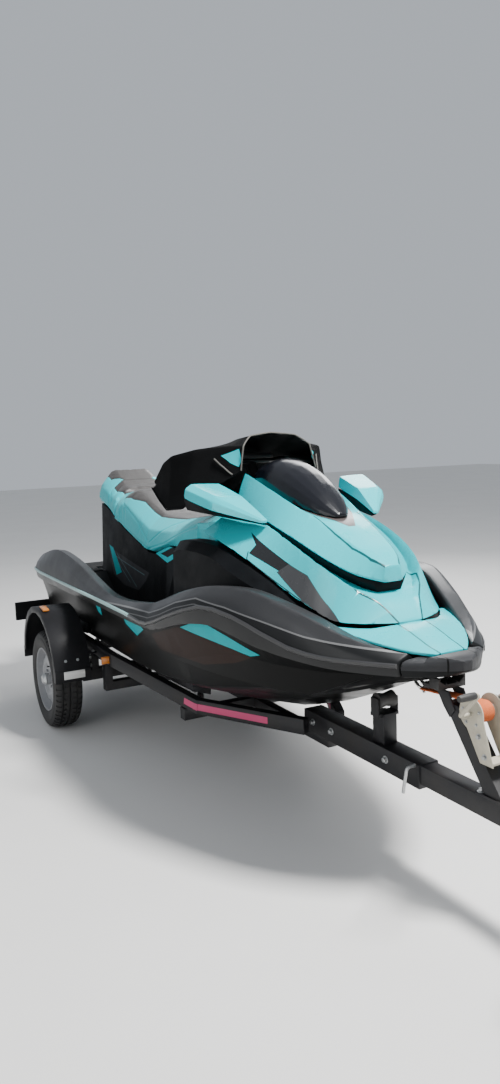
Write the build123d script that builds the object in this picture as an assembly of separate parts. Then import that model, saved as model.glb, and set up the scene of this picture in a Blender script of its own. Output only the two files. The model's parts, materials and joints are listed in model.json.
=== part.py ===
"""A three-seat personal watercraft strapped on its single-axle road trailer.

Every size is in millimetres. Craft pieces are drawn in the craft's own axes: x forward from the
stern, y to port, z up from the keel. Trailer pieces use the same x and y, with z up from the ground.
At the end both are moved so that the part stands on the ground, centred on its length.
"""
from build123d import *
from math import cos, radians, sin
import os

# Driving sizes
KEEL_Z = 325            # keel above the ground
STERN_X = -2139         # stern of the craft in the part's own frame
HULL_FROM, HULL_TO = 60, 3322
SEAT_SPLIT = 622        # between the rear and the front seat cushion
WHEEL_X = 930           # axle from the stern
WHEEL_Y = 712           # wheel centre from the centreline
WHEEL_R = 270
TYRE_W = 155
RIM_R = 172
JET_Z = 130             # jet pump axis above the keel
STEERING_PIVOT = (2080, 950)        # x, z where the steering axis leaves the console
STEERING_TILT = 25                  # degrees the column leans back
BAR_CLAMP = 196                     # from the pivot up the column to the handlebar
NOZZLE_PIVOT_X = 130
BUCKET_PIVOT = (100, JET_Z)
STEP_PIVOT = (32, 200)
COUPLING_X, COUPLING_Z = 4400, 355  # ball centre
JOCKEY_X, JOCKEY_Y = 4050, -118
JOCKEY_WHEEL_R = 100
GAP = 1                 # joint between fixed mouldings

# Lines along the craft as (x, value)
PLAN_HALF = [(0, 560), (100, 596), (400, 620), (1000, 627), (1800, 627), (2300, 596), (2700, 517),
             (2900, 450), (3050, 386), (3150, 333), (3250, 258), (3330, 182), (3395, 108), (3432, 54),
             (3450, 18)]
RIDGE_Z = [(0, 520), (250, 569), (630, 627), (990, 595), (1340, 524), (1570, 490), (1720, 493),
           (2070, 530), (2350, 618), (2550, 668), (2730, 679), (2870, 649), (3010, 606),
           (3150, 550), (3250, 518), (3340, 496)]
RAIL_Z = [(0, 452), (560, 460), (1560, 465), (1940, 460), (2080, 448), (2310, 514), (2490, 572),
          (2590, 592), (2740, 575), (2880, 530), (2990, 494), (3100, 476), (3330, 466)]
SKIRT_Z = [(0, 400), (460, 409), (1150, 420), (1790, 427), (2120, 424), (2460, 508), (2620, 521),
           (2810, 478), (2990, 450), (3170, 434), (3330, 428)]
GUNWALE_INNER_Y = [(0, 450), (400, 515), (1000, 522), (1700, 522), (1950, 495), (2060, 452),
                   (2380, 445), (2550, 430), (2770, 377), (2980, 295), (3050, 268), (3160, 226),
                   (3250, 178), (3330, 116)]

# Stations where the craft's mouldings have their sections
STATIONS = [60, 120, 250, 340, 440, 540, 640, 800, 990, 1160, 1250, 1340, 1450, 1570, 1720, 1900,
            2060, 2120, 2200, 2310, 2430, 2550, 2640, 2740, 2810, 2880, 2990, 3060, 3110, 3160, 3205,
            3250, 3300, 3322]


def smooth(table, x):
    """Value at x on the smooth line through the (x, value) rows of a table, with no overshoot."""
    if x <= table[0][0]:
        return table[0][1]
    if x >= table[-1][0]:
        return table[-1][1]
    slopes = [(b[1] - a[1]) / (b[0] - a[0]) for a, b in zip(table, table[1:])]
    inner = [0 if m * n <= 0 else 2 * m * n / (m + n) for m, n in zip(slopes, slopes[1:])]
    tangents = [slopes[0]] + inner + [slopes[-1]]
    k = max(i for i in range(len(table) - 1) if table[i][0] <= x)
    (x0, v0), (x1, v1) = table[k], table[k + 1]
    span = x1 - x0
    t = (x - x0) / span
    rise = 3 * t**2 - 2 * t**3
    bend = (t**3 - 2 * t**2 + t) * tangents[k] + (t**3 - t**2) * tangents[k + 1]
    return v0 + (v1 - v0) * rise + span * bend


def lines(names, rows):
    """Named smooth lines from a short table whose first column is x, then one column a name."""
    return {
        name: [(row[0], row[k + 1]) for row in rows] for k, name in enumerate(names.split())
    }


def at(table, x):
    """All the named values of a table at x."""
    return {name: smooth(line, x) for name, line in table.items()}


def stations(start, end):
    """Stations from start to end: the shared ones between them, so that neighbours fit."""
    return [start] + [x for x in STATIONS if start + 15 < x < end - 15] + [end]


def places(start, end, count):
    """Evenly spaced stations from start to end."""
    return [start + (end - start) * k / (count - 1) for k in range(count)]


def whole(half):
    """Closed outline from its half with y >= 0, which starts and ends on the centreline."""
    return half + [(-y, z) for y, z in reversed(half[1:-1])]


def ring(outer, inner):
    """Closed outline of an arch: an outer half line and the inner half line under it."""
    port = outer + list(reversed(inner))
    starboard = [(-y, z) for y, z in inner[1:] + list(reversed(outer[1:]))]
    return port + starboard


def loft_along(stations, outline):
    """Solid through the closed (y, z) outlines that outline(x) gives at each station."""
    faces = [Plane.YZ.offset(x) * make_face(Polyline(*outline(x), close=True)) for x in stations]
    return loft(faces, ruled=True)


def box(x0, x1, y0, y1, z0, z1):
    """Box between two corners."""
    return Pos((x0 + x1) / 2, (y0 + y1) / 2, (z0 + z1) / 2) * Box(x1 - x0, y1 - y0, z1 - z0)


def rod(a, b, radius, bore=0):
    """Round bar, or tube, from point a to point b."""
    a, b = Vector(*a), Vector(*b)
    plane = Plane(origin=a, z_dir=b - a)
    section = Circle(radius)
    if bore:
        section = section - Circle(bore)
    return extrude(plane * section, amount=(b - a).length)


def bar(points, radius, bend):
    """Round bar through the points, bent at its corners to the radius given."""
    path = FilletPolyline(*points, radius=bend)
    section = Plane(origin=path @ 0, z_dir=path % 0) * Circle(radius)
    return sweep(section, path=path)


def side_plate(points, y0, y1):
    """Plate with an (x, z) outline, from y0 to y1."""
    face = make_face(Polyline(*[(x, 0, z) for x, z in points], close=True))
    return extrude(Pos(0, y0, 0) * face, amount=y1 - y0, dir=(0, 1, 0))


def together(shapes):
    """Solids of one node that don't touch."""
    return Compound([solid for shape in shapes for solid in shape.solids()])


def pair(shape):
    """A port piece with its starboard twin."""
    return together([shape, mirror(shape, about=Plane.XZ)])


def plan_half(x):
    return smooth(PLAN_HALF, x)


def sheer_y(x):
    return plan_half(x) - 28


def sheer_z(x):
    return smooth(SKIRT_Z, x) + 18


# Hull
HULL = lines("keel_z chine_y chine_z", [
    (60, 20, 500, 170),
    (800, 0, 510, 165),
    (1700, 0, 510, 170),
    (2300, 34, 480, 205),
    (2630, 121, 405, 262),
    (3020, 278, 275, 340),
    (3200, 362, 190, 392),
    (3330, 405, 120, 425),
])
LINER_WALL = 60         # hull side above the inner liner floor
LINER_Z = 300
TUNNEL = (55, 540, 150, 272)        # x0, x1, half width, roof above the keel
INTAKE_HALF = 82
ENGINE = (1180, 1780, 200, 62, 560)  # x0, x1, half width, z0, z1


def liner_z(x):
    return max(LINER_Z, smooth(HULL["keel_z"], x) + 42)


def hull_outline(x):
    h = at(HULL, x)
    y, z = sheer_y(x), sheer_z(x)
    lift = (h["chine_z"] - h["keel_z"]) / h["chine_y"]
    strake = 0.55 * h["chine_y"]
    return whole([
        (0, liner_z(x)),
        (y - LINER_WALL, liner_z(x)),
        (y - LINER_WALL, z),
        (y, z),
        (h["chine_y"] + 0.35 * (y - h["chine_y"]), h["chine_z"] + 0.45 * (z - h["chine_z"])),
        (h["chine_y"], h["chine_z"]),
        (h["chine_y"] - 26, h["chine_z"] - 16),
        (strake + 14, h["keel_z"] + lift * strake - 2),
        (strake, h["keel_z"] + lift * strake - 14),
        (0, h["keel_z"]),
    ])


def hull():
    x0, x1, half, roof = TUNNEL
    shape = loft_along(stations(HULL_FROM, HULL_TO), hull_outline)
    shape -= box(x0, x1, -half, half, -20, JET_Z)
    shape -= box(x0, x1, -half, half, JET_Z - 1, roof - 62)
    shape -= box(x0, x1, 62 - half, half - 62, roof - 63, roof)
    shape -= rod((x0, half - 62, roof - 62), (x1, half - 62, roof - 62), 62)
    shape -= rod((x0, 62 - half, roof - 62), (x1, 62 - half, roof - 62), 62)
    duct = [(x1 - 2, 212), (640, 212), (960, -20), (x1 + 22, -20), (x1 - 2, 48)]
    shape -= side_plate(duct, -INTAKE_HALF, INTAKE_HALF)
    shape -= rod((700, 0, JET_Z), (ENGINE[0] + 2, 0, JET_Z), 17)
    shape -= box(ENGINE[0] - 2, ENGINE[1] + 2, -ENGINE[2] - 2, ENGINE[2] + 2, ENGINE[3], LINER_Z + 5)
    return shape


def engine_block():
    x0, x1, half, z0, z1 = ENGINE
    block = box(x0, x1, -half, half, z0, z1)
    edges = block.edges().filter_by(Axis.X)
    return chamfer(edges, 40)


def ride_plate():
    plate = box(74, 514, -142, 142, 14, 24)
    for y in (-80, 0, 80):
        plate += box(100, 500, y - 4, y + 4, 6, 15)
    return plate


def intake_grate():
    """Loop of flat bar in the intake's mouth with four bars along it."""
    shape = box(566, 584, -78, 78, 8, 20) + box(882, 900, -78, 78, 4, 16)
    for y in (-74, -26, 26, 74):
        shape += side_plate([(566, 8), (900, 4), (900, 16), (566, 20)], y - 4, y + 4)
    return shape


def sponson():
    """Side fin at the chine near the stern."""
    return loft_along([330, 420, 900, 1020], lambda x: [
        (524, 196),
        (548 + (0 if x in (330, 1020) else 24), 190),
        (552 + (0 if x in (330, 1020) else 30), 214),
        (540 + (0 if x in (330, 1020) else 6), 244),
        (535, 246),
    ])


# Deck
DECK = lines("floor_z", [
    (0, 442), (440, 442), (640, 336), (1720, 336), (2060, 440),
])
PEDESTAL = lines("top_z top_y foot_y", [
    (300, 862, 188, 205),
    (470, 828, 196, 225),
    (690, 752, 205, 240),
    (1000, 672, 212, 248),
    (1215, 628, 214, 250),
    (1470, 690, 210, 246),
    (1800, 690, 196, 240),
    (2060, 690, 215, 262),
])
SHOULDER = lines("flat_y flat_z out_y out_z", [
    (2060, 405, 792, 444, 742),
    (2160, 405, 806, 442, 766),
    (2380, 402, 806, 438, 766),
    (2550, 388, 766, 423, 718),
    (2770, 340, 678, 370, 642),
    (2980, 262, 560, 280, 544),
    (3060, 232, 530, 246, 522),
    (3160, 186, 516, 200, 508),
    (3300, 96, 478, 108, 470),
])
TUB = (2420, 2930, 200, 385)        # front storage: x0, x1, half width, floor
WELL_END = 2060


def floor_outline(x):
    foot = smooth(GUNWALE_INNER_Y, x) - 20
    floor = smooth(DECK["floor_z"], x)
    rim = sheer_y(x) - LINER_WALL - GAP
    base = liner_z(x) + GAP
    return whole([(0, floor), (foot, floor), (foot + 14, sheer_z(x)), (rim, sheer_z(x)),
                  (rim, base), (0, base)])


def pedestal_outline(x):
    p = at(PEDESTAL, x)
    floor = smooth(DECK["floor_z"], x)
    return whole([(0, p["top_z"]), (p["top_y"], p["top_z"]),
                  (p["foot_y"], floor + 20), (p["foot_y"] + 12, floor - 12), (0, floor - 12)])


def shoulder_outline(x):
    s = at(SHOULDER, x)
    wall = smooth(GUNWALE_INNER_Y, x) - 2 * GAP
    rim = sheer_y(x) - LINER_WALL - GAP
    return whole([(0, s["flat_z"]), (s["flat_y"], s["flat_z"]), (s["out_y"], s["out_z"]),
                  (wall, sheer_z(x) + 40), (wall, sheer_z(x)), (rim, sheer_z(x)),
                  (rim, liner_z(x) + GAP), (0, liner_z(x) + GAP)])


def deck():
    shape = loft_along(stations(HULL_FROM, WELL_END), floor_outline)
    shape += loft_along(stations(300, WELL_END), pedestal_outline)
    shape += loft_along(stations(WELL_END, 3300), shoulder_outline)
    shape += box(0, 90, -400, 400, 402, 442)
    shape -= box(WELL_END - 30, 2296, -338, 338, 690, 900)
    shape -= box(TUB[0], TUB[1], -TUB[2], TUB[2], TUB[3], 900)
    shape -= box(ENGINE[0] - 2, ENGINE[1] + 2, -ENGINE[2] - 2, ENGINE[2] + 2, 290, ENGINE[4] + 2)
    return shape


def foot_mat():
    """Pad on the floor of a footwell."""
    return loft_along([660, 1000, 1400, 1700], lambda x: [
        (268, 337), (smooth(GUNWALE_INNER_Y, x) - 30, 337),
        (smooth(GUNWALE_INNER_Y, x) - 34, 343), (272, 343)])


def platform_mat():
    """Pad on the stern platform, on both sides of the seat's end."""
    mat = box(66, 270, -380, 380, 443, 449)
    for side in (-1, 1):
        y0, y1 = sorted((side * 245, side * 380))
        mat += box(270, 430, y0, y1, 443, 449)
    return mat


# Gunwales, rub rails and bow
def gunwale_outline(x):
    edge = plan_half(x)
    inner = smooth(GUNWALE_INNER_Y, x)
    ridge, rail, low = smooth(RIDGE_Z, x), smooth(RAIL_Z, x), smooth(SKIRT_Z, x)
    seat = sheer_z(x) + GAP
    inside = sheer_y(x) + 2 * GAP
    crown = max(edge - 50, inner + 14)
    return [(inner, seat), (inside, seat), (inside, low), (edge - 8, low), (edge, rail - 6),
            (edge, rail + 6), (edge - 13, rail + 0.55 * (ridge - rail)), (crown, ridge),
            (inner + 8, ridge - 8), (inner, ridge - 18)]


def gunwale_port():
    return loft_along(stations(4, HULL_TO), gunwale_outline)


def rub_rail():
    def outline(x):
        edge, z = plan_half(x) + 0.5, smooth(RAIL_Z, x)
        return [(edge, z - 9), (edge + 7, z - 5), (edge + 7, z + 5), (edge, z + 9)]
    return loft_along(stations(20, HULL_TO), outline)


BUMPER = lines("top_z mid_z low_z", [
    (3327, 489, 466, 428), (3376, 487, 467, 430), (3379, 499, 470, 430), (3424, 496, 472, 437),
    (3450, 484, 472, 452),
])


def bow_bumper():
    def outline(x):
        w, b = plan_half(x), at(BUMPER, x)
        return whole([(0, b["top_z"]), (0.84 * w, b["top_z"]), (0.96 * w, b["mid_z"] + 12),
                      (w, b["mid_z"]), (0.96 * w, b["low_z"]), (0.75 * w, b["low_z"] - 3),
                      (0, b["low_z"] - 5)])
    return loft_along([3327, 3352, 3376, 3379, 3400, 3420, 3436, 3445, 3450], outline)


NOSE = lines("centre_z crease_y edge_y edge_z", [
    (3022, 566, 100, 278, 556), (3100, 566, 76, 247, 547), (3160, 564, 60, 224, 537),
    (3250, 541, 58, 176, 520), (3330, 515, 56, 114, 504), (3374, 503, 52, 66, 499),
])
# Foot of the hood in plan, where the nose panel begins
HOOD_FOOT = [(3162, 0), (3162, 60), (3127, 150), (3090, 194), (3040, 236), (3000, 256)]


def nose_panel():
    """Panel ahead of the hood, creased on both sides and swept back around the hood's foot."""
    def outline(x):
        n = at(NOSE, x)
        return whole([(0, n["centre_z"]), (n["crease_y"], n["centre_z"] - 1), (n["edge_y"], n["edge_z"]),
                      (n["edge_y"], n["edge_z"] - 9), (0, n["centre_z"] - 13)])
    foot = [(x + 2, y + 2, 500) for x, y in HOOD_FOOT]
    port = make_face(Polyline(*foot, (2990, 0, 500), (3162, 0, 500), close=True))
    under_hood = extrude(port, amount=120, dir=(0, 0, 1))
    panel = loft_along([3022, 3060, 3100, 3160, 3205, 3250, 3290, 3330, 3374], outline)
    return panel - under_hood - mirror(under_hood, about=Plane.XZ)


# Hood, cowl, vent and visor
HOOD = lines("recess_y recess_z ridge_y ridge_z edge_y edge_z", [
    (2290, 218, 880, 255, 938, 400, 852),
    (2540, 224, 832, 252, 900, 380, 792),
    (2700, 222, 790, 250, 853, 344, 722),
    (2830, 205, 742, 240, 803, 312, 657),
    (2960, 165, 688, 205, 738, 270, 600),
    (3040, 104, 655, 140, 672, 234, 570),
    (3090, 70, 636, 96, 640, 192, 568),
    (3125, 56, 606, 74, 608, 148, 567),
    (3160, 40, 568, 52, 568, 58, 566),
])
COWL = lines("centre_z seat_y top_y top_z low_y low_z", [
    (2246, 1048, 131, 165, 1088, 206, 985),
    (2450, 986, 133, 152, 1018, 216, 915),
    (2600, 944, 112, 135, 962, 216, 876),
    (2700, 916, 78, 115, 922, 210, 848),
    (2760, 902, 30, 104, 898, 202, 826),
    (2900, 840, 22, 84, 838, 168, 768),
    (3010, 788, 18, 60, 785, 112, 722),
    (3062, 757, 12, 32, 753, 44, 704),
])
VISOR = lines("half_y base_z top_z", [
    (2244, 118, 1052, 1128), (2330, 127, 1026, 1148), (2450, 126, 990, 1118),
    (2600, 103, 948, 1040), (2690, 68, 923, 972), (2742, 24, 911, 926),
])
COWL_STATIONS = [2246, 2350, 2415, 2540, 2620, 2700, 2765, 2830, 2895, 2960, 3000, 3040, 3062]
SKIN = 13               # hood moulding
HOOD_STATIONS = [2290, 2415, 2540, 2620, 2700, 2765, 2830, 2895, 2960, 3000, 3040, 3090, 3125, 3160]


def hood():
    def outline(x):
        h = at(HOOD, x)
        outer = [(0, h["recess_z"]), (h["recess_y"], h["recess_z"]),
                 (h["ridge_y"], h["ridge_z"]), (h["edge_y"], h["edge_z"])]
        inner = [(0, h["recess_z"] - SKIN), (h["recess_y"] + 4, h["recess_z"] - SKIN),
                 (h["ridge_y"] - 2, h["ridge_z"] - 1.4 * SKIN), (h["edge_y"] - SKIN, h["edge_z"])]
        return ring(outer, inner)
    return loft_along(HOOD_STATIONS, outline)


def hood_cowl():
    def outline(x):
        c = at(COWL, x)
        return whole([(0, c["centre_z"]), (c["seat_y"], c["centre_z"]), (c["top_y"], c["top_z"]),
                      (c["low_y"], c["low_z"]), (c["low_y"] - 8, c["low_z"] - 9),
                      (0, c["low_z"] - 9)])
    return loft_along(COWL_STATIONS, outline)


def cowl_vent():
    """Dark intake band between the cowl and the recess of the hood."""
    def outline(x):
        h, c = at(HOOD, x), at(COWL, x)
        top, floor = c["low_z"] - 11, h["recess_z"] + 2 * GAP
        brow = min(c["low_y"] - 10, h["recess_y"] - 3)
        return whole([(0, top), (brow, top), (brow, top - 14), (max(brow - 16, 8), floor),
                      (0, floor)])
    return loft_along([2290] + HOOD_STATIONS[1:10] + [3038], outline)


def visor():
    def outline(x):
        v = at(VISOR, x)
        w, base, rise = v["half_y"], v["base_z"], v["top_z"] - v["base_z"]
        crown = [(w * cos(radians(a)), base + rise * sin(radians(a)) ** 0.8) for a in (70, 50, 30, 12)]
        return whole([(0, v["top_z"])] + crown + [(w, base), (0, base)])
    return loft_along([2244, 2285, 2330, 2390, 2450, 2525, 2600, 2650, 2690, 2720, 2742], outline)


# Mirrors: corners of each section as (y, z)
MIRROR_CAP = {
    2276: [(300, 1000), (478, 996), (470, 1034), (440, 1054), (310, 1050)],
    2450: [(284, 954), (432, 950), (424, 984), (400, 1002), (290, 1000)],
    2602: [(258, 900), (284, 898), (283, 906), (276, 911), (261, 911)],
}
MIRROR_HOUSING = {
    2272: [(306, 930), (462, 945), (474, 993), (302, 997)],
    2450: [(282, 904), (380, 920), (428, 947), (286, 951)],
    2592: [(256, 888), (270, 890), (282, 894), (257, 897)],
}


def mirror_cap():
    return loft_along(list(MIRROR_CAP), lambda x: MIRROR_CAP[x])


def mirror_housing():
    return loft_along(list(MIRROR_HOUSING), lambda x: MIRROR_HOUSING[x])


# Seats, console and rear fittings
SEAT = lines("top_z top_y mid_y mid_z low_y low_z", [
    (262, 1040, 118, 178, 975, 205, 905),
    (340, 1072, 130, 192, 985, 214, 892),
    (480, 1002, 140, 202, 930, 224, 852),
    (620, 956, 146, 206, 893, 230, 796),
    (790, 952, 146, 204, 872, 236, 742),
    (1000, 880, 134, 208, 806, 242, 684),
    (1190, 824, 126, 212, 752, 244, 640),
    (1400, 822, 118, 206, 762, 236, 690),
    (1600, 842, 106, 192, 792, 224, 764),
    (1798, 866, 92, 164, 838, 200, 822),
])


def seat_outline(x):
    s = at(SEAT, x)
    base = smooth(PEDESTAL["top_z"], x) + 2 * GAP
    return whole([(0, s["top_z"]), (s["top_y"] * 0.8, s["top_z"]), (s["top_y"], s["top_z"] - 9),
                  (s["mid_y"], s["mid_z"]), (s["low_y"], s["low_z"]),
                  (s["low_y"] - 22, base), (0, base)])


def seat_rear():
    return loft_along([262] + stations(300, SEAT_SPLIT - 3), seat_outline)


def seat_front():
    return loft_along(stations(SEAT_SPLIT, 1798), seat_outline)


CONSOLE = lines("top_z top_y side_y side_z", [
    (1802, 868, 92, 200, 838), (1900, 905, 105, 222, 846), (2050, 936, 118, 262, 862),
    (2200, 948, 128, 302, 880), (2280, 944, 132, 322, 884),
])


def console():
    def outline(x):
        c = at(CONSOLE, x)
        return whole([(0, c["top_z"]), (c["top_y"], c["top_z"]), (c["side_y"], c["side_z"]),
                      (c["side_y"] + 8, c["side_z"] - 90), (c["side_y"] - 14, 692), (0, 692)])
    return loft_along([1802, 1900, 1975, 2050, 2125, 2200, 2280], outline)


def gauge():
    """Instrument housing on the console ahead of the bars."""
    return side_plate([(2186, 970), (2240, 970), (2240, 1022), (2206, 1028), (2180, 985)], -88, 88)


def grab_rail():
    """Handle behind the rear seat."""
    y, foot, back = 150, 250, 196
    return bar([(foot + 8, -y, 800), (back, -y, 842), (back, y, 842), (foot + 8, y, 800)], 13,
               30)


def tow_eye():
    plate = box(34, 62, -24, 24, 450, 456)
    return plate + bar([(48, -14, 452), (48, -14, 482), (48, 14, 482), (48, 14, 452)], 5, 12)


def bow_eye():
    """U bolt on the stem that the winch strap hooks to."""
    return bar([(3198, -13, 355), (3226, -13, 337), (3226, 13, 337), (3198, 13, 355)], 6, 12)


def boarding_step():
    """Fold-down step folded up against the transom: two arms and a foot bar."""
    x, z = STEP_PIVOT
    arms = bar([(x, -186, z), (x, -186, z + 140), (x, 186, z + 140), (x, 186, z)], 11, 40)
    eyes = [rod((x, y - 11, z), (x, y + 11, z), 17) for y in (-186, 186)]
    shape = arms + eyes[0] + eyes[1]
    return shape - rod((x, -220, z), (x, 220, z), 7)


def step_brackets():
    """Two forks on the transom with the pins that the step turns on."""
    x, z = STEP_PIVOT
    shapes = []
    for y in (-186, 186):
        fork = box(HULL_FROM - 6, HULL_FROM - 1, y - 34, y + 34, z - 26, z + 26)
        for side in (-1, 1):
            fork += box(x - 14, HULL_FROM - 2, y + side * 23 - 4, y + side * 23 + 4, z - 16, z + 16)
        shapes.append(fork + rod((x, y - 27, z), (x, y + 27, z), 6))
    return shapes


# Steering
def along_column(distance):
    """Point on the steering axis that far above its pivot."""
    lean = radians(STEERING_TILT)
    return (STEERING_PIVOT[0] - distance * sin(lean), 0, STEERING_PIVOT[1] + distance * cos(lean))


BAR_ROUTE = [(0, 95, 4), (-38, 190, 10), (-78, 372, 0)]     # port half, from the clamp


def bar_points():
    x, _, z = along_column(BAR_CLAMP)
    port = [(x + dx, y, z + dz) for dx, y, dz in BAR_ROUTE]
    return [(px, -py, pz) for px, py, pz in reversed(port)] + port


def steering_column():
    collar = rod(along_column(34), along_column(64), 42)
    return rod(along_column(34), along_column(BAR_CLAMP - 14), 26) + collar


def handlebar():
    return bar(bar_points(), 11, 45)


def hand_grips():
    """Grips with their end caps, and the throttle and reverse levers ahead of them."""
    a, b = bar_points()[-2:]
    a, b = Vector(*a), Vector(*b)
    start = a + (b - a) * 0.28
    grip = rod(start, b, 17, 11.4)
    way = (b - a).normalized()
    cap = rod(b + way * 0.6, b + way * 9, 19)
    lever = bar([a + Vector(18, 4, 2), a + Vector(44, 60, -2), b + Vector(46, -44, -6)], 6, 24)
    port = [grip, cap, lever]
    return together(port + [mirror(piece, about=Plane.XZ) for piece in port])


def handlebar_pad():
    x, _, z = along_column(BAR_CLAMP)
    pad = box(x - 50, x + 62, -88, 88, z + 16.5, z + 42)
    return chamfer(pad.edges().group_by(Axis.Z)[-1], 12)


COVER = lines("crown_z crown_y eave_y eave_z hem_y hem_z", [
    (1650, 985, 70, 150, 965, 205, 925),
    (1760, 1075, 110, 300, 1040, 350, 940),
    (1850, 1134, 140, 396, 1128, 424, 985),
    (1960, 1194, 160, 402, 1174, 428, 1000),
    (2080, 1234, 140, 352, 1186, 392, 1010),
    (2196, 1262, 104, 214, 1200, 262, 1042),
])
CLOTH = 6


def cover_outline(x):
    c = at(COVER, x)
    outer = [(0, c["crown_z"]), (c["crown_y"], c["crown_z"] - 8), (c["eave_y"], c["eave_z"]),
             (c["hem_y"], c["hem_z"])]
    inner = [(0, c["crown_z"] - CLOTH), (c["crown_y"] - 2, c["crown_z"] - 8 - CLOTH),
             (c["eave_y"] - CLOTH, c["eave_z"] - CLOTH), (c["hem_y"] - CLOTH, c["hem_z"])]
    return ring(outer, inner)


def handlebar_cover():
    """Cloth bonnet over the bars, open to the front and below, closed behind."""
    shell = loft_along([1650, 1705, 1760, 1820, 1880, 1950, 2020, 2070, 2120, 2160, 2196], cover_outline)
    c = at(COVER, 1650)
    back = [(0, c["crown_z"]), (c["crown_y"], c["crown_z"] - 8), (c["eave_y"], c["eave_z"]),
            (c["hem_y"], c["hem_z"]), (0, c["hem_z"] - 10)]
    return shell + loft_along([1644, 1651], lambda x: whole(back))


# Jet pump
PUMP_FRONT = 536
IMPELLER_X = (400, 480)
BLADES = 4
VANES = 6


def turned(profile):
    """Solid of revolution about the jet axis from (x, radius) points."""
    face = make_face(Polyline(*[(x, 0, r) for x, r in profile], close=True))
    return Pos(0, 0, JET_Z) * revolve(face, Axis.X)


def pump_housing():
    """Fixed bowl and nozzle with flow-straightening vanes, lugs for the nozzle, cheeks for the bucket."""
    shape = turned([(PUMP_FRONT, 80), (PUMP_FRONT, 118), (522, 118), (518, 94), (262, 94), (206, 51),
                    (148, 49), (148, 43), (206, 45), (270, 80)])
    hub = turned([(228, 0), (240, 10), (292, 26), (372, 30), (372, 0)])
    for k in range(VANES):
        vane = box(272, 350, -2.5, 2.5, 20, 87)
        hub += Pos(0, 0, JET_Z) * Rot(k * 360 / VANES, 0, 0) * vane
    shape += hub
    for side in (-1, 1):
        lug = box(114, 240, -15, 15, 81, 91) + box(212, 240, -15, 15, 64, 91)
        lug -= rod((NOZZLE_PIVOT_X, 0, 60), (NOZZLE_PIVOT_X, 0, 95), 7)
        shape += Pos(0, 0, JET_Z) * Rot(0 if side > 0 else 180, 0, 0) * lug
        cheek = side_plate([(84, JET_Z - 13), (84, JET_Z + 13), (300, JET_Z + 22),
                            (300, JET_Z - 22)], 111, 119)
        cheek += box(262, 300, 88, 112, JET_Z - 18, JET_Z + 18)
        cheek += rod((BUCKET_PIVOT[0], 97, JET_Z), (BUCKET_PIVOT[0], 112, JET_Z), 7)
        shape += cheek if side > 0 else mirror(cheek, about=Plane.XZ)
    return shape


def impeller():
    """Hub with pitched blades on the drive shaft."""
    x0, x1 = IMPELLER_X
    shape = turned([(380, 0), (380, 30), (470, 30), (500, 22), (500, 12), (ENGINE[0] - 6, 12),
                    (ENGINE[0] - 6, 0)])
    reach = turned([(x0, 28), (x0, 75), (x1, 75), (x1, 28)])
    for k in range(BLADES):
        blade = Pos((x0 + x1) / 2, 0, 0) * Rot(0, 0, 52) * box(-62, 62, -2.5, 2.5, 24, 80)
        shape += reach & (Pos(0, 0, JET_Z) * Rot(k * 360 / BLADES, 0, 0) * blade)
    return shape


def jet_nozzle():
    """Steering nozzle that swings on two upright pins."""
    shape = turned([(12, 46), (12, 53), (92, 74), (152, 74), (152, 67), (96, 67)])
    for side in (-1, 1):
        shape += rod((NOZZLE_PIVOT_X, 0, JET_Z + side * 70), (NOZZLE_PIVOT_X, 0, JET_Z + side * 93), 6)
    return shape


BUCKET_SPAN = (72, 142)             # degrees from forward, as folded up


def reverse_bucket():
    """Curved gate with two side cheeks, folded up over the nozzle."""
    outer, inner, wide = 117, 109, 106

    def sector(radius, start, end, count=7):
        return [(BUCKET_PIVOT[0] + radius * cos(radians(a)), BUCKET_PIVOT[1] + radius * sin(radians(a)))
                for a in places(start, end, count)]
    a0, a1 = BUCKET_SPAN
    gate = side_plate(sector(outer, a0, a1) + list(reversed(sector(inner, a0, a1))), -wide, wide)
    for side in (-1, 1):
        hub = [(BUCKET_PIVOT[0] + 15 * cos(radians(a)), BUCKET_PIVOT[1] + 15 * sin(radians(a)))
               for a in places(a1 + 40, a0 + 320, 9)]
        y0, y1 = (98, 106) if side > 0 else (-106, -98)
        gate += side_plate(sector(outer - 2, a0, a1) + hub, y0, y1)
    return gate - rod((BUCKET_PIVOT[0], -110, JET_Z), (BUCKET_PIVOT[0], 110, JET_Z), 8)


# Trailer. Heights from here on are above the ground.
RAIL_ROUTE = [(120, 530, 446), (1400, 530, 446), (2050, 345, 340), (2560, 92, 345)]
RAIL_SIZE = (40, 66)
MEMBERS = ((380, 530, 412.5), (1290, 530, 412.5), (1960, 371, 314))     # x, rail's y, rail's underside
MEMBER_Z = (258, 303)
BUNK_Y = (250, 350)
BUNK_POST_Y = 286
BUNK_DROP = 20          # bunk's top below the hull's bottom
BAR_SIZE = 80
BAR_TOP = 390
FENDER_Z = 330
FENDER_R = 342
FENDER_Y = (616, 806)


def box_run(a, b, width, height):
    """Square tube from a to b with its sides upright."""
    a, b = Vector(*a), Vector(*b)
    run = b - a
    plane = Plane(origin=a, x_dir=Vector(0, 0, 1).cross(run), z_dir=run)
    return extrude(plane * Rectangle(width, height), amount=run.length)


def side_rail():
    shape = None
    for a, b in zip(RAIL_ROUTE, RAIL_ROUTE[1:]):
        run = (Vector(*b) - Vector(*a)).normalized() * 12
        piece = box_run(a, (Vector(*b) + run), *RAIL_SIZE)
        shape = piece if shape is None else shape + piece
    return shape & box(0, 2600, 46, 700, 200, 600)


def drawbar():
    """Outer tube and the longer inner tube that carries the post and the coupling."""
    sleeve = box(2490, 3250, -45, 45, BAR_TOP - 86, BAR_TOP + 4)
    return sleeve + box(3240, 4300, -35, 35, BAR_TOP - 70, BAR_TOP)


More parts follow.
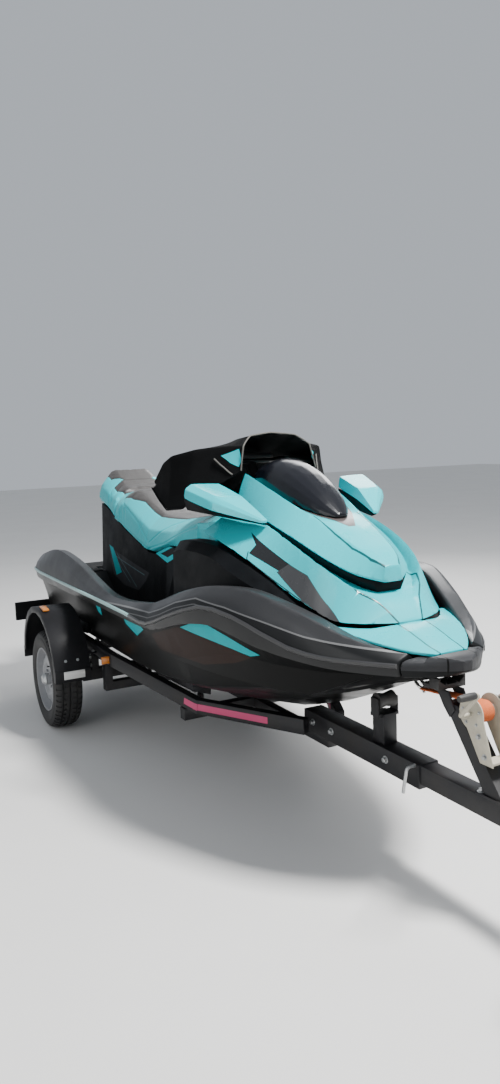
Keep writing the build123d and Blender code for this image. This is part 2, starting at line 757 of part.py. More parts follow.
def crossmembers():
    """Three cross tubes, the uprights that carry rails and bunks, a spine and the guards' stays."""
    shape = box(MEMBERS[1][0] - 20, 2640, -22, 22, *MEMBER_Z)
    for x, y, low in MEMBERS:
        tube = box(x - 25, x + 25, -y - 20, y + 20, *MEMBER_Z)
        for side in (-1, 1):
            tube += box(x - 25, x + 25, *sorted((side * (y - 20), side * (y + 20))), 290, low)
            post_top = hull_bottom_z(x, BUNK_POST_Y) - BUNK_DROP - 40.5
            tube += box(x - 18, x + 18, *sorted((side * BUNK_POST_Y, side * (BUNK_POST_Y + 16))),
                        290, post_top)
        if x < WHEEL_X:
            rear = tube
        else:
            shape += tube
    return together([rear, shape] + guard_stays())


def axle():
    """Beam under the rails with its two trailing arms and stub axles."""
    beam_x, beam_z = WHEEL_X + 110, 290
    shape = box(beam_x - 30, beam_x + 30, -600, 600, beam_z - 30, beam_z + 30)
    for side in (-1, 1):
        y0, y1 = sorted((side * 572, side * 600))
        arm = side_plate([(beam_x + 26, beam_z + 26), (beam_x + 26, beam_z - 26),
                          (WHEEL_X, WHEEL_R - 28), (WHEEL_X - 28, WHEEL_R),
                          (WHEEL_X - 4, WHEEL_R + 28)], y0, y1)
        shape += arm + rod((WHEEL_X, side * 590, WHEEL_R), (WHEEL_X, side * 706, WHEEL_R), 17)
        shape += box(beam_x - 45, beam_x + 45, side * 530 - 20, side * 530 + 20, beam_z + 29, 412.5)
    return shape


def tyre_port():
    """Road tyre with rounded shoulders and three circumferential grooves."""
    half = TYRE_W / 2
    outer, bead = WHEEL_R, RIM_R + 4
    profile = [(-half + 13, bead), (-half + 4, bead + 14), (-half, 225), (-half + 6, 250),
               (-half + 24, outer - 3), (-48, outer), (-42, outer), (-40, outer - 7), (-34, outer - 7),
               (-32, outer), (-4, outer), (-3, outer - 7), (3, outer - 7), (4, outer), (32, outer),
               (34, outer - 7), (40, outer - 7), (42, outer), (48, outer), (half - 24, outer - 3),
               (half - 6, 250), (half, 225), (half - 4, bead + 14), (half - 13, bead)]
    face = make_face(Polyline(*[(0, y, r) for y, r in profile], close=True))
    return Pos(WHEEL_X, WHEEL_Y, WHEEL_R) * revolve(face, Axis.Y)


def rim_port():
    """Pressed steel rim: barrel, dished disc with slots, hub and stub bore."""
    half = TYRE_W / 2 - 12
    barrel = [(-half, RIM_R + 4), (-half - 3, RIM_R + 4), (-half - 3, RIM_R - 4),
              (-half + 24, RIM_R - 8), (-half + 30, 150), (20, 150), (half - 20, RIM_R - 10),
              (half + 3, RIM_R - 4), (half + 3, RIM_R + 4), (half, RIM_R + 4), (half, RIM_R),
              (half - 18, RIM_R - 4), (24, 156), (-half + 26, 156), (-half + 22, RIM_R - 2),
              (-half, RIM_R)]
    disc = [(18, 152), (44, 128), (50, 92), (38, 70), (38, 18), (32, 18), (32, 74), (44, 94),
            (38, 124), (10, 152)]
    hub = [(-70, 18), (-70, 38), (20, 46), (20, 60), (33, 60), (33, 18)]
    shape = None
    for profile in (barrel, disc, hub):
        face = make_face(Polyline(*[(0, y, r) for y, r in profile], close=True))
        ring_shape = revolve(face, Axis.Y)
        shape = ring_shape if shape is None else shape + ring_shape
    for k in range(12):
        slot = Pos(0, 40, 128) * Box(20, 60, 17)
        shape -= Rot(0, 30 * k, 0) * slot
    shape += rod((0, 36, 0), (0, 58, 0), 32)
    for k in range(4):
        nut = Rot(0, 90 * k + 45, 0) * Pos(0, 0, 52) * rod((0, 36, 0), (0, 48, 0), 8)
        shape += nut
    return Pos(WHEEL_X, WHEEL_Y, WHEEL_R) * shape


def mudguard_port():
    """Moulded guard: roof arc, outer lip and a flat front flap."""
    y0, y1 = FENDER_Y
    outer, inner = FENDER_R + 10, FENDER_R
    a0, a1 = 8, 172

    def arc(radius, start, end, count=11):
        return [(WHEEL_X + radius * cos(radians(a)), FENDER_Z + radius * sin(radians(a)))
                for a in places(start, end, count)]
    roof = side_plate(arc(outer, a0, a1) + list(reversed(arc(inner, a0, a1))), y0, y1)
    lip = side_plate(arc(outer, a0, a1) + list(reversed(arc(inner - 22, a0, a1))), y1 - 8, y1)
    shape = roof + lip
    flap_x = WHEEL_X + inner
    shape += box(flap_x - 4, flap_x + 8, y0, y1, 330, FENDER_Z + 60)
    shape += box(flap_x - 30, flap_x + 8, y1 - 8, y1, 330, FENDER_Z + 60)
    back_x = WHEEL_X - inner
    shape += box(back_x - 8, back_x + 4, y0, y1, 330, FENDER_Z + 60)
    return shape


def guard_stays():
    """Brackets from the rails to the inner edges of the guards."""
    shapes = []
    for reach in (-260, 240):
        x = WHEEL_X + reach
        roof = FENDER_Z + (FENDER_R**2 - (abs(reach) + 16)**2) ** 0.5
        stay = box(x - 16, x + 16, 551, 609, 440, 446) + box(x - 16, x + 16, 609, 614, 440, roof)
        shapes += [stay, mirror(stay, about=Plane.XZ)]
    return shapes


def hull_bottom_z(x, y):
    """Underside of the hull above the ground between the keel and the chine."""
    h = at(HULL, x)
    return KEEL_Z + h["keel_z"] + (h["chine_z"] - h["keel_z"]) * y / h["chine_y"]


def bunk():
    """Carpeted plank under the hull, tilted to its bottom."""
    def outline(x):
        inner, outer = (hull_bottom_z(x, y) - BUNK_DROP for y in BUNK_Y)
        return [(BUNK_Y[0], inner), (BUNK_Y[1], outer), (BUNK_Y[1], outer - 40), (BUNK_Y[0], inner - 40)]
    return loft_along([330, 800, 1700, 1990], outline)


ROLLER_X, ROLLER_R = 3000, 32


def roller_z():
    """Height of the keel roller's pin, so that the roller just carries the keel."""
    return KEEL_Z + smooth(HULL["keel_z"], ROLLER_X) - 3 - ROLLER_R


def keel_roller():
    """Waisted rubber roller under the keel."""
    profile = [(-38, 9.5), (-38, ROLLER_R), (0, ROLLER_R - 7), (38, ROLLER_R), (38, 9.5)]
    face = make_face(Polyline(*[(0, y, r) for y, r in profile], close=True))
    return Pos(ROLLER_X, 0, roller_z()) * revolve(face, Axis.Y)


def keel_post():
    """Upright on the drawbar with the front roller's fork."""
    x, pin_z = ROLLER_X, roller_z()
    fork_z = pin_z - ROLLER_R - 14
    shape = box(x - 35, x + 35, -30, 30, BAR_TOP + 5, fork_z) + box(
        x - 25, x + 25, -48, 48, fork_z - 12, fork_z)
    for side in (-1, 1):
        shape += box(x - 22, x + 22, *sorted((side * 42, side * 48)), fork_z - 6, pin_z + 14)
    return shape + rod((x, -48, pin_z), (x, 48, pin_z), 9)


POST_HEAD_Z = 656


def winch_post():
    """Leaning post on the drawbar with a foot plate and two cheeks that carry the bow chock."""
    post = side_plate([(3560, BAR_TOP + 1), (3640, BAR_TOP + 1), (3434, POST_HEAD_Z),
                       (3366, POST_HEAD_Z)], -30, 30)
    post += box(3520, 3680, -38, 38, BAR_TOP + 1, BAR_TOP + 9)
    for side in (-1, 1):
        y0, y1 = sorted((side * 29, side * 36))
        post += side_plate([(3400, 610), (3424, 640), (3392, 696), (3334, 696), (3372, 640)], y0, y1)
    return post


def bow_chock():
    """Rubber V block on the post's cheeks, under and ahead of the stem."""
    block = box(3292, 3326, -60, 60, 697, 711) + box(3325, 3374, -60, 60, 697, 738)
    notch = side_plate([(3300, 714), (3390, 714), (3390, 800), (3300, 800)], -22, 22)
    for side in (-1, 1):
        corner = Pos(3350, side * 22, 748) * Rot(side * 35, 0, 0) * Box(120, 30, 66)
        notch += corner
    return block - notch


WINCH = (3512, 655)     # drum axis x, z


def winch():
    """Two side plates, a drum and a crank on the front of the post."""
    x, z = WINCH
    shape = rod((x, -43, z), (x, 43, z), 24)
    for side in (-1, 1):
        y0, y1 = sorted((side * 42, side * 46))
        shape += rod((x, y0, z), (x, y1, z), 54)
        shape += side_plate([(x - 50, z), (x + 50, z), (x + 96, z - 150), (x + 40, z - 150)], y0, y1)
    shape += box(x + 46, x + 92, -45, 45, z - 146, z - 138)
    return shape + bar([(x, -44, z), (x, -96, z), (x + 90, -96, z + 96), (x + 90, -150, z + 96)],
                       8, 18)


def winch_strap():
    """Webbing wound on the drum and pulled tight to the bow eye."""
    x, z = WINCH
    eye_x, eye_z = 3233, KEEL_Z + 338
    run = side_plate([(x, z + 34), (eye_x, eye_z + 3), (eye_x, eye_z - 2), (x, z + 29)], -24, 24)
    return run + rod((x, -24, z), (x, 24, z), 34, 24.5)


def coupling():
    """Cast ball coupling on the end of the drawbar."""
    x, z = COUPLING_X, COUPLING_Z
    body = side_plate([(4270, BAR_TOP + 12), (x - 40, BAR_TOP + 20), (x + 40, z + 44), (x + 52, z),
                       (x + 44, z - 22), (x - 44, z - 22), (4310, BAR_TOP - 76), (4270, BAR_TOP - 76)],
                      -46, 46)
    body -= box(4200, 4301, -36, 36, BAR_TOP - 71, BAR_TOP + 1)
    body -= Pos(x, 0, z) * Sphere(25.5)
    body -= rod((x, 0, z - 60), (x, 0, z), 25.5)
    return body


def jockey_clamp():
    x, y = JOCKEY_X, JOCKEY_Y
    shape = box(x - 30, x + 30, y - 34, y + 34, BAR_TOP - 60, BAR_TOP - 10) + box(
        x - 40, x + 40, y + 30, -36, BAR_TOP - 60, BAR_TOP - 10)
    shape -= rod((x, y, 200), (x, y, 500), 26)
    return shape + rod((x + 20, y - 34, BAR_TOP - 35), (x + 20, y - 90, BAR_TOP - 35), 6)


def jockey_tube():
    """Tube that slides in the clamp, with the crank on top."""
    x, y = JOCKEY_X, JOCKEY_Y
    tube = rod((x, y, 226), (x, y, 620), 24)
    crank = bar([(x, y, 615), (x, y, 650), (x + 90, y, 650), (x + 90, y, 710)], 7, 16)
    return tube + crank


def jockey_fork():
    """Swivel head with a fork trailing behind it."""
    x, y, r = JOCKEY_X, JOCKEY_Y, JOCKEY_WHEEL_R
    wheel_x = x - 40
    shape = rod((x, y, 214), (x, y, 224), 30) + box(x - 66, x + 22, y - 44, y + 44, 208, 215)
    for side in (-1, 1):
        y0, y1 = sorted((y + side * 36, y + side * 42))
        shape += side_plate([(x - 62, 210), (x + 18, 210), (wheel_x + 18, r - 16), (wheel_x - 18, r - 16)],
                            y0, y1)
    return shape + rod((wheel_x, y - 46, r), (wheel_x, y + 46, r), 8)


def jockey_wheel():
    x, y, r = JOCKEY_X - 40, JOCKEY_Y, JOCKEY_WHEEL_R
    profile = [(-25, 30), (-25, r - 8), (-17, r), (17, r), (25, r - 8), (25, 30), (30, 30), (30, 9),
               (-30, 9), (-30, 30)]
    face = make_face(Polyline(*[(0, py, pr) for py, pr in profile], close=True))
    return Pos(x, y, r) * revolve(face, Axis.Y)


def light_board():
    """Board across the tail with its two lamp units and the arms that carry it."""
    board = box(-152, -132, -690, 690, 405, 525)
    for side in (-1, 1):
        y0, y1 = sorted((side * 510, side * 550))
        board += box(-134, 119, y0, y1, 430, 462)
    board += box(-158, -151, -130, 130, 412, 518)
    return board


def lamps():
    """Tail lamp units, side markers on the rails, and reflectors and markers on the guards."""
    guard_x = WHEEL_X + FENDER_R
    port = [
        box(-174, -153, 470, 670, 418, 512),
        box(1386, 1400, 551, 592, 428, 466),
        box(guard_x + 9, guard_x + 14, 650, 762, 346, 388),
    ]
    return together(port + [mirror(piece, about=Plane.XZ) for piece in port])


def write(name, shape, lift):
    """Move a piece into the part's frame and write it."""
    export_step(Pos(STERN_X, 0, lift) * shape, os.path.join("parts", name + ".step"))


def main():
    os.makedirs("parts", exist_ok=True)
    gunwale = gunwale_port()
    craft_pieces = {
        "hull": hull(),
        "engine_block": engine_block(),
        "ride_plate": ride_plate(),
        "intake_grate": intake_grate(),
        "sponsons": pair(sponson()),
        "deck": deck(),
        "deck_mats": together([platform_mat(), foot_mat(), mirror(foot_mat(), about=Plane.XZ)]),
        "gunwale_port": gunwale,
        "gunwale_starboard": mirror(gunwale, about=Plane.XZ),
        "rub_rails": pair(rub_rail()),
        "bow_bumper": bow_bumper(),
        "nose_panel": nose_panel(),
        "hood": hood(),
        "hood_cowl": hood_cowl(),
        "cowl_vent": cowl_vent(),
        "visor": visor(),
        "mirror_caps": pair(mirror_cap()),
        "mirror_housings": pair(mirror_housing()),
        "seat_rear": seat_rear(),
        "seat_front": seat_front(),
        "console": console(),
        "gauge": gauge(),
        "grab_rail": grab_rail(),
        "deck_fittings": together([tow_eye(), bow_eye()] + step_brackets()),
        "boarding_step": boarding_step(),
        "steering_column": steering_column(),
        "handlebar": handlebar(),
        "hand_grips": hand_grips(),
        "handlebar_pad": handlebar_pad(),
        "handlebar_cover": handlebar_cover(),
        "pump_housing": pump_housing(),
        "impeller": impeller(),
        "jet_nozzle": jet_nozzle(),
        "reverse_bucket": reverse_bucket(),
    }
    tyre, rim, guard = tyre_port(), rim_port(), mudguard_port()
    trailer_pieces = {
        "side_rails": pair(side_rail()),
        "drawbar": drawbar(),
        "crossmembers": crossmembers(),
        "axle": axle(),
        "tyre_port": tyre,
        "tyre_starboard": mirror(tyre, about=Plane.XZ),
        "rim_port": rim,
        "rim_starboard": mirror(rim, about=Plane.XZ),
        "mudguard_port": guard,
        "mudguard_starboard": mirror(guard, about=Plane.XZ),
        "bunks": pair(bunk()),
        "keel_post": keel_post(),
        "keel_roller": keel_roller(),
        "winch_post": winch_post(),
        "bow_chock": bow_chock(),
        "winch": winch(),
        "winch_strap": winch_strap(),
        "coupling": coupling(),
        "jockey_clamp": jockey_clamp(),
        "jockey_tube": jockey_tube(),
        "jockey_fork": jockey_fork(),
        "jockey_wheel": jockey_wheel(),
        "light_board": light_board(),
        "lamps": lamps(),
    }
    for name, shape in craft_pieces.items():
        write(name, shape, KEEL_Z)
    for name, shape in trailer_pieces.items():
        write(name, shape, 0)


if __name__ == "__main__":
    main()
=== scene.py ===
"""Paint, upholstery, cloth and running gear for a personal watercraft on its road trailer.

The frame gives every piece its place. Sizes are in metres, with +X towards the bow, +Y to port and
+Z up from the ground; places on the craft are given in millimetres from the stern, the centreline
and the keel. Each operator in the sidebar panel finishes one group of pieces.
"""

import json
from math import cos, exp, hypot, pi, radians, sin

import bmesh
import bpy
from mathutils import Matrix, Vector, noise


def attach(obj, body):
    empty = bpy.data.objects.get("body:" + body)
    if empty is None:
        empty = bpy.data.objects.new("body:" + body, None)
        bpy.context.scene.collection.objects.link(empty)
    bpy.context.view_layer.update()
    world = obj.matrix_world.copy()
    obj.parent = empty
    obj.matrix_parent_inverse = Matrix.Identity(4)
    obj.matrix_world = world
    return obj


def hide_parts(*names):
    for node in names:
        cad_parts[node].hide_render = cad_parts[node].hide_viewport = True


bl_info = {
    "name": "Watercraft and Trailer Finisher",
    "version": (1, 1, 0),
    "blender": (4, 5, 0),
    "location": "View3D > Sidebar > Watercraft",
    "description": "Finishes a personal watercraft and its road trailer piece by piece",
    "category": "Object",
}

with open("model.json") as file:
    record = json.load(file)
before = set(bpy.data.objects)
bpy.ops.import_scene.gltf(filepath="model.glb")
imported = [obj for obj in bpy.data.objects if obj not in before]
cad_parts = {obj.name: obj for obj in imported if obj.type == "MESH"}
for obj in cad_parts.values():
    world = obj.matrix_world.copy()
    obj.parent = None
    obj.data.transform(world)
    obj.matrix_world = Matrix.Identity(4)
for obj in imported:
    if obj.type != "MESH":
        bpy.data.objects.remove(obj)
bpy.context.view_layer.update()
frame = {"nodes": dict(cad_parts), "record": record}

STERN_X = -2.139            # stern of the craft
KEEL_Z = 0.325              # keel above the ground
MM = 0.001
WHEEL = (930, 712, 270)     # middle of the port road wheel, as trailer() takes it
SIDES = ((-1, "starboard"), (1, "port"))
STARBOARD_PORT = (-1, 1)    # signs of y
UP, ASTERN, OUTWARD = (0, 0, 1), (-1, 0, 0), (0, 1, 0)


def craft(x, y, z):
    """Point given in millimetres from the stern, the centreline and the keel."""
    return Vector((STERN_X + x * MM, y * MM, KEEL_Z + z * MM))


def trailer(x, y, z):
    """Point given in millimetres from the stern, the centreline and the ground."""
    return Vector((STERN_X + x * MM, y * MM, z * MM))


def side_view(points):
    """(x, z) places on the craft in metres, from millimetres."""
    return [(STERN_X + x * MM, KEEL_Z + z * MM) for x, z in points]


def plan_view(points):
    """(x, y) places on the craft in metres, from millimetres."""
    return [(STERN_X + x * MM, y * MM) for x, y in points]


def from_stern(place):
    """Millimetres from the stern to a place given in metres."""
    return (place.x - STERN_X) / MM


def above_keel(place):
    """Millimetres from the keel up to a place given in metres."""
    return (place.z - KEEL_Z) / MM


def all_at(place, points):
    """The points in metres, where place is craft or trailer."""
    return [place(*point) for point in points]


def metres(profile):
    """Profile in metres, from (along the axis, radius) in millimetres."""
    return [(offset * MM, radius * MM) for offset, radius in profile]


def along(table, x):
    """Value at x on the line through the (x, value) rows of a table."""
    if x <= table[0][0]:
        return table[0][1]
    for (x0, v0), (x1, v1) in zip(table, table[1:]):
        if x <= x1:
            return v0 + (v1 - v0) * (x - x0) / (x1 - x0)
    return table[-1][1]


# Materials
class Finish:
    """A procedural material: one shader, and short calls for the nodes that feed it."""

    def __init__(self, name, colour, roughness, metallic=0.0, specular=0.5, **constants):
        self.material = bpy.data.materials.new(name)
        self.material.use_nodes = True
        self.tree = self.material.node_tree
        self.shader = self.tree.nodes["Principled BSDF"]
        self.shader.inputs["Base Color"].default_value = (*colour, 1)
        self.shader.inputs["Roughness"].default_value = roughness
        self.shader.inputs["Metallic"].default_value = metallic
        self.shader.inputs["Specular IOR Level"].default_value = specular
        for socket, value in constants.items():
            self.shader.inputs[socket.replace("_", " ").title()].default_value = value
        self.place = self.tree.nodes.new("ShaderNodeTexCoord").outputs["Object"]
        split = self.node("ShaderNodeSeparateXYZ", [self.place])
        self.x, self.y, self.z = split.outputs
        self.out = self.math("ABSOLUTE", self.y)
        self.paint = None

    def node(self, kind, inputs=(), **settings):
        """Adds a node; inputs are values or sockets in order, and None leaves one alone."""
        made = self.tree.nodes.new(kind)
        for key, value in settings.items():
            setattr(made, key, value)
        for socket, value in zip(made.inputs, inputs):
            if isinstance(value, bpy.types.NodeSocket):
                self.tree.links.new(value, socket)
            elif value is not None:
                socket.default_value = value
        return made

    def math(self, operation, *values):
        return self.node("ShaderNodeMath", values, operation=operation).outputs[0]

    def waves(self, value, pitch):
        """Sine wave along a coordinate, pitch metres from one crest to the next."""
        return self.math("SINE", self.math("MULTIPLY", value, 2 * pi / pitch))

    def noise(self, scale, detail, stretch=(1, 1, 1), roughness=0.55):
        """Noise on the object coordinates, which are multiplied by stretch first."""
        mapping = self.node("ShaderNodeMapping", [self.place])
        mapping.inputs["Scale"].default_value = stretch
        made = self.node("ShaderNodeTexNoise", [mapping.outputs[0]])
        made.inputs["Scale"].default_value = scale
        made.inputs["Detail"].default_value = detail
        made.inputs["Roughness"].default_value = roughness
        return made.outputs["Fac"]

    def cells(self, scale):
        """Distance to the middle of the nearest of many small cells."""
        made = self.node("ShaderNodeTexVoronoi", [self.place])
        made.inputs["Scale"].default_value = scale
        return made.outputs["Distance"]

    def ramp(self, factor, low, high, start=0.0, end=1.0):
        """Maps factor from low..high to start..end, held at both ends."""
        made = self.node("ShaderNodeMapRange", [factor, low, high, start, end])
        return made.outputs[0]

    def attribute(self, name):
        """A number that the mesh holds at each of its points."""
        return self.node("ShaderNodeAttribute", attribute_name=name).outputs["Fac"]

    def mixed(self, factor, first, second):
        """Colour from first to second; each is a socket or three numbers."""
        made = self.node("ShaderNodeMix", data_type="RGBA")
        factor_in, first_in, second_in = made.inputs[0], made.inputs[6], made.inputs[7]
        for socket, value in ((factor_in, factor), (first_in, first), (second_in, second)):
            if isinstance(value, bpy.types.NodeSocket):
                self.tree.links.new(value, socket)
            elif isinstance(value, (int, float)):
                socket.default_value = value
            else:
                socket.default_value = (*value, 1)
        return made.outputs[2]

    def above(self, value, limit):
        return self.math("GREATER_THAN", value, limit)

    def below(self, value, limit):
        return self.math("LESS_THAN", value, limit)

    def both(self, first, second):
        return self.math("MULTIPLY", first, second)

    def any_of(self, masks):
        result = masks[0]
        for mask in masks[1:]:
            result = self.math("MAXIMUM", result, mask)
        return result

    def inside(self, across, up, points):
        """1 inside a convex outline given in the plane of two coordinates."""
        area = sum(a[0] * b[1] - b[0] * a[1] for a, b in zip(points, points[1:] + points[:1]))
        ordered = points if area > 0 else list(reversed(points))
        mask = None
        for a, b in zip(ordered, ordered[1:] + ordered[:1]):
            run, rise = b[0] - a[0], b[1] - a[1]
            side = self.math("MULTIPLY_ADD", up, run, self.math("MULTIPLY", across, -rise))
            edge = self.above(side, a[1] * run - a[0] * rise)
            mask = edge if mask is None else self.math("MINIMUM", mask, edge)
        return mask

    def stroke(self, across, up, points, width):
        """1 within half the width of the line through the points."""
        masks = []
        for a, b in zip(points, points[1:]):
            length = hypot(b[0] - a[0], b[1] - a[1])
            ux, uy = (b[0] - a[0]) / length, (b[1] - a[1]) / length
            run = self.math("MULTIPLY_ADD", across, ux, self.math("MULTIPLY_ADD", up, uy,
                                                                  -a[0] * ux - a[1] * uy))
            off = self.math("MULTIPLY_ADD", across, -uy, self.math("MULTIPLY_ADD", up, ux,
                                                                   a[0] * uy - a[1] * ux))
            near = self.below(self.math("ABSOLUTE", off), width / 2)
            within = self.math("COMPARE", run, length / 2, length / 2 + width / 2)
            masks.append(self.both(near, within))
        return self.any_of(masks)

    def panels(self, *outlines):
        """1 inside any of the outlines given in side view."""
        return self.any_of([self.inside(self.x, self.z, side_view(points)) for points in outlines])

    def lines(self, routes, width):
        """1 on any of the lines given in side view."""
        return self.any_of([self.stroke(self.x, self.z, side_view(points), width) for points in routes])

    def creases(self, *routes):
        """1 on any of the lines given in plan view, on both sides of the craft."""
        return self.any_of([self.stroke(self.x, self.out, plan_view(points), CREASE_WIDTH)
                            for points in routes])

    def coat(self, mask, colour):
        """Paints a colour over what is there, where the mask is 1."""
        under = self.paint if self.paint else tuple(self.shader.inputs["Base Color"].default_value)[:3]
        self.colour(self.mixed(mask, under, colour))

    def colour(self, socket):
        self.paint = socket
        self.tree.links.new(socket, self.shader.inputs["Base Color"])

    def rough(self, socket):
        self.tree.links.new(socket, self.shader.inputs["Roughness"])

    def bump(self, height, distance):
        """Adds relief, distance metres deep, on top of any that is there."""
        made = self.node("ShaderNodeBump")
        made.inputs["Distance"].default_value = distance
        self.tree.links.new(height, made.inputs["Height"])
        chained = self.shader.inputs["Normal"].links
        if chained:
            self.tree.links.new(chained[0].from_socket, made.inputs["Normal"])
        self.tree.links.new(made.outputs[0], self.shader.inputs["Normal"])
        return self


def shaded(colour, factor):
    return tuple(c * factor for c in colour)


def gloss_paint(name, colour):
    """Sprayed colour under clear lacquer with a film of dust."""
    made = Finish(name, colour, 0.28, specular=0.4, coat_weight=0.3, coat_roughness=0.1)
    film = made.ramp(made.noise(2.2, 6, roughness=0.65), 0.45, 0.75, 0.0, 0.04)
    made.colour(made.mixed(film, colour, (0.30, 0.44, 0.42)))
    made.rough(made.ramp(made.noise(6.0, 5), 0.3, 0.7, 0.23, 0.35))
    return made.bump(made.noise(420.0, 2), 0.00002)


def metallic_paint(name, colour):
    """Dark paint with fine metal flake under lacquer."""
    made = Finish(name, colour, 0.36, metallic=0.35, specular=0.3, coat_weight=0.12, coat_roughness=0.14)
    flake = made.ramp(made.cells(2400.0), 0.1, 0.7)
    made.colour(made.mixed(flake, shaded(colour, 1.5), shaded(colour, 0.8)))
    made.rough(made.ramp(made.noise(5.0, 6), 0.3, 0.7, 0.30, 0.44))
    return made


def moulded_black(name, colour=(0.0032, 0.0036, 0.0042), grain=900.0, roughness=0.48):
    """Injection-moulded plastic with a fine leather-like grain."""
    made = Finish(name, colour, roughness, specular=0.1)
    grey = made.ramp(made.noise(5.0, 5), 0.35, 0.7)
    made.colour(made.mixed(grey, colour, shaded(colour, 1.5)))
    made.rough(made.ramp(made.noise(11.0, 5), 0.3, 0.7, roughness - 0.06, roughness + 0.1))
    return made.bump(made.cells(grain), 0.00005)


def powder_coat(name, colour, roughness=0.42, dusty=0.16):
    """Powder coat with orange peel and road dust in patches."""
    made = Finish(name, colour, roughness, specular=0.35)
    dust = made.ramp(made.noise(6.0, 8, roughness=0.7), 0.45, 0.8, 0.0, dusty)
    made.colour(made.mixed(dust, colour, (0.16, 0.14, 0.115)))
    made.rough(made.ramp(dust, 0.0, dusty, roughness, 0.72))
    return made.bump(made.noise(240.0, 3), 0.0001)


def bare_metal(name, colour, roughness, spangle=0.0, brushed=(1, 1, 1)):
    """Steel or alloy: brushed along one way, or galvanised with a spangle."""
    made = Finish(name, colour, roughness, metallic=1.0)
    grain = made.noise(60.0, 6, stretch=brushed)
    made.rough(made.ramp(grain, 0.3, 0.7, roughness - 0.08, roughness + 0.14))
    if spangle:
        patch = made.ramp(made.cells(90.0), 0.0, 0.8, 0.0, spangle)
        made.colour(made.mixed(patch, colour, shaded(colour, 0.72)))
    else:
        stain = made.ramp(made.noise(9.0, 7), 0.45, 0.75, 0.0, 0.35)
        made.colour(made.mixed(stain, colour, shaded(colour, 0.6)))
    return made.bump(grain, 0.00006)


def black_rubber(name, colour=(0.016, 0.016, 0.016), roughness=0.62, dusty=0.35):
    made = Finish(name, colour, roughness)
    worn = made.ramp(made.noise(14.0, 6), 0.4, 0.75, 0.0, dusty)
    made.colour(made.mixed(worn, colour, (0.075, 0.068, 0.058)))
    return made.bump(made.noise(500.0, 4), 0.00008)


THREAD = 0.0012                 # width of one thread in the woven cloths
FLUTE_PITCH = 0.004             # from one flute of the lamp lenses to the next


def woven(name, colour, shade):
    """Plain weave: two sets of threads, over and under."""
    made = Finish(name, colour, 0.72, specular=0.08)
    warp = made.waves(made.math("ADD", made.x, made.z), 2 * THREAD)
    weft = made.waves(made.math("ADD", made.y, made.z), 2 * THREAD)
    fade = made.ramp(made.noise(8.0, 5), 0.35, 0.7)
    made.colour(made.mixed(fade, colour, shade))
    return made.bump(made.both(warp, weft), 0.0002)


def lens(name, colour):
    """Coloured lens with moulded flutes behind a glossy face."""
    made = Finish(name, colour, 0.10, coat_weight=0.8)
    flute = made.waves(made.y, FLUTE_PITCH)
    made.colour(made.mixed(made.ramp(flute, -1.0, 1.0), colour, shaded(colour, 0.7)))
    return made.bump(flute, 0.0003)


# Marks on the mouldings: convex outlines, and lines, as (x, z) or (x, y) on the craft
HULL_TEAL = [
    [(2352, 470), (2505, 524), (2790, 424), (2728, 408)],
    [(1760, 448), (1890, 452), (1980, 394), (1850, 338), (1752, 380)],
    [(1330, 430), (1420, 430), (1360, 352), (1318, 366)],
]
# Dark brown panel on each side of the hull, between the teal flashes
HULL_UMBER = [
    [(2060, 388), (2335, 468), (2745, 408), (2640, 366), (2440, 322), (2080, 320)],
]
HOOD_BLACK = [
    [(2538, 860), (2796, 755), (2606, 816)],
    [(2606, 816), (2796, 755), (2762, 729), (2603, 786)],
]
HOOD_GREY = [
    [(2755, 725), (2790, 757), (2884, 722), (2990, 622), (2981, 598), (2894, 634)],
    [(2894, 640), (2985, 628), (3058, 560), (3046, 558), (2970, 592)],
]
HOOD_LINES = [
    [(2596, 790), (2612, 764), (2740, 704), (2886, 636), (2990, 590)],
    [(2640, 742), (2760, 690), (2900, 622), (3000, 578)],
]
# Creases as (x, y) on the craft: the lacquer is darkened along them as painted shade
HOOD_CREASE = [(2890, 158), (2990, 168), (3040, 142), (3090, 97), (3125, 75), (3160, 54)]
NOSE_CREASE = [(3160, 60), (3250, 58), (3330, 56), (3374, 52)]
COWL_CREASE = [(2700, 104), (2838, 99), (2935, 88), (3013, 62), (3056, 34)]
DOME_FOOT = [(2540, -140), (2690, -86), (2812, -16), (2812, 16), (2690, 86), (2540, 140)]
BUMPER_SEAMS = [[(3225, 168), (3295, 240)], [(3374, 56), (3450, 66)]]
# Upper edge of the black band along each gunwale
BAND_LINE = [(0, 440), (1480, 452), (1600, 470), (1921, 490), (2130, 500), (2240, 532), (2370, 580),
             (2516, 617), (2700, 604), (2865, 575), (3040, 538), (3173, 522), (3330, 502)]
CHEVRON = [(1880, 420), (2760, 420), (2760, 640), (1880, 640)]
PANEL_GREY = [(470, 600), (1190, 520), (1150, 470), (1050, 405), (800, 400), (590, 440)]
PANEL_TEAL = [(478, 612), (560, 600), (740, 470), (640, 440)]
PANEL_LINES = [[(560, 560), (900, 430)], [(640, 570), (1010, 420)], [(560, 560), (1120, 500)]]
SLOT_TEAL = [(1250, 640), (1440, 604), (1752, 722), (1728, 772)]
SLOT_BLACK = [(1340, 642), (1440, 632), (1700, 728), (1664, 742)]
MAT_PITCH = 0.016               # from one groove of the deck mats to the next
COVER_PATCH = [(2168, 1164), (2232, 1192), (2250, 1141), (2247, 1114), (2208, 1132)]
CONSOLE_GAP = [(2150, 700), (2090, 900)]
RAIL_BAND = [(1990, 350), (2050, 340), (2400, 343)]     # here the heights are above the ground
# Width of the painted shade along the creases, and of the bumper's dark seams
CREASE_WIDTH = 0.006
# Distances in metres from the centreline beyond which a moulding's painted sides begin
HULL_SIDES, HOOD_SIDES, CONSOLE_SIDES, COVER_SIDES = 0.30, 0.215, 0.185, 0.14
DECK_FLANK = (0.20, 0.262)      # the deck's painted flank lies between these
# Heights in metres above the keel
DECK_FLANK_FOOT, CONSOLE_PAINT_FOOT, BUMPER_BLACK_TOP = 0.36, 0.700, 0.452
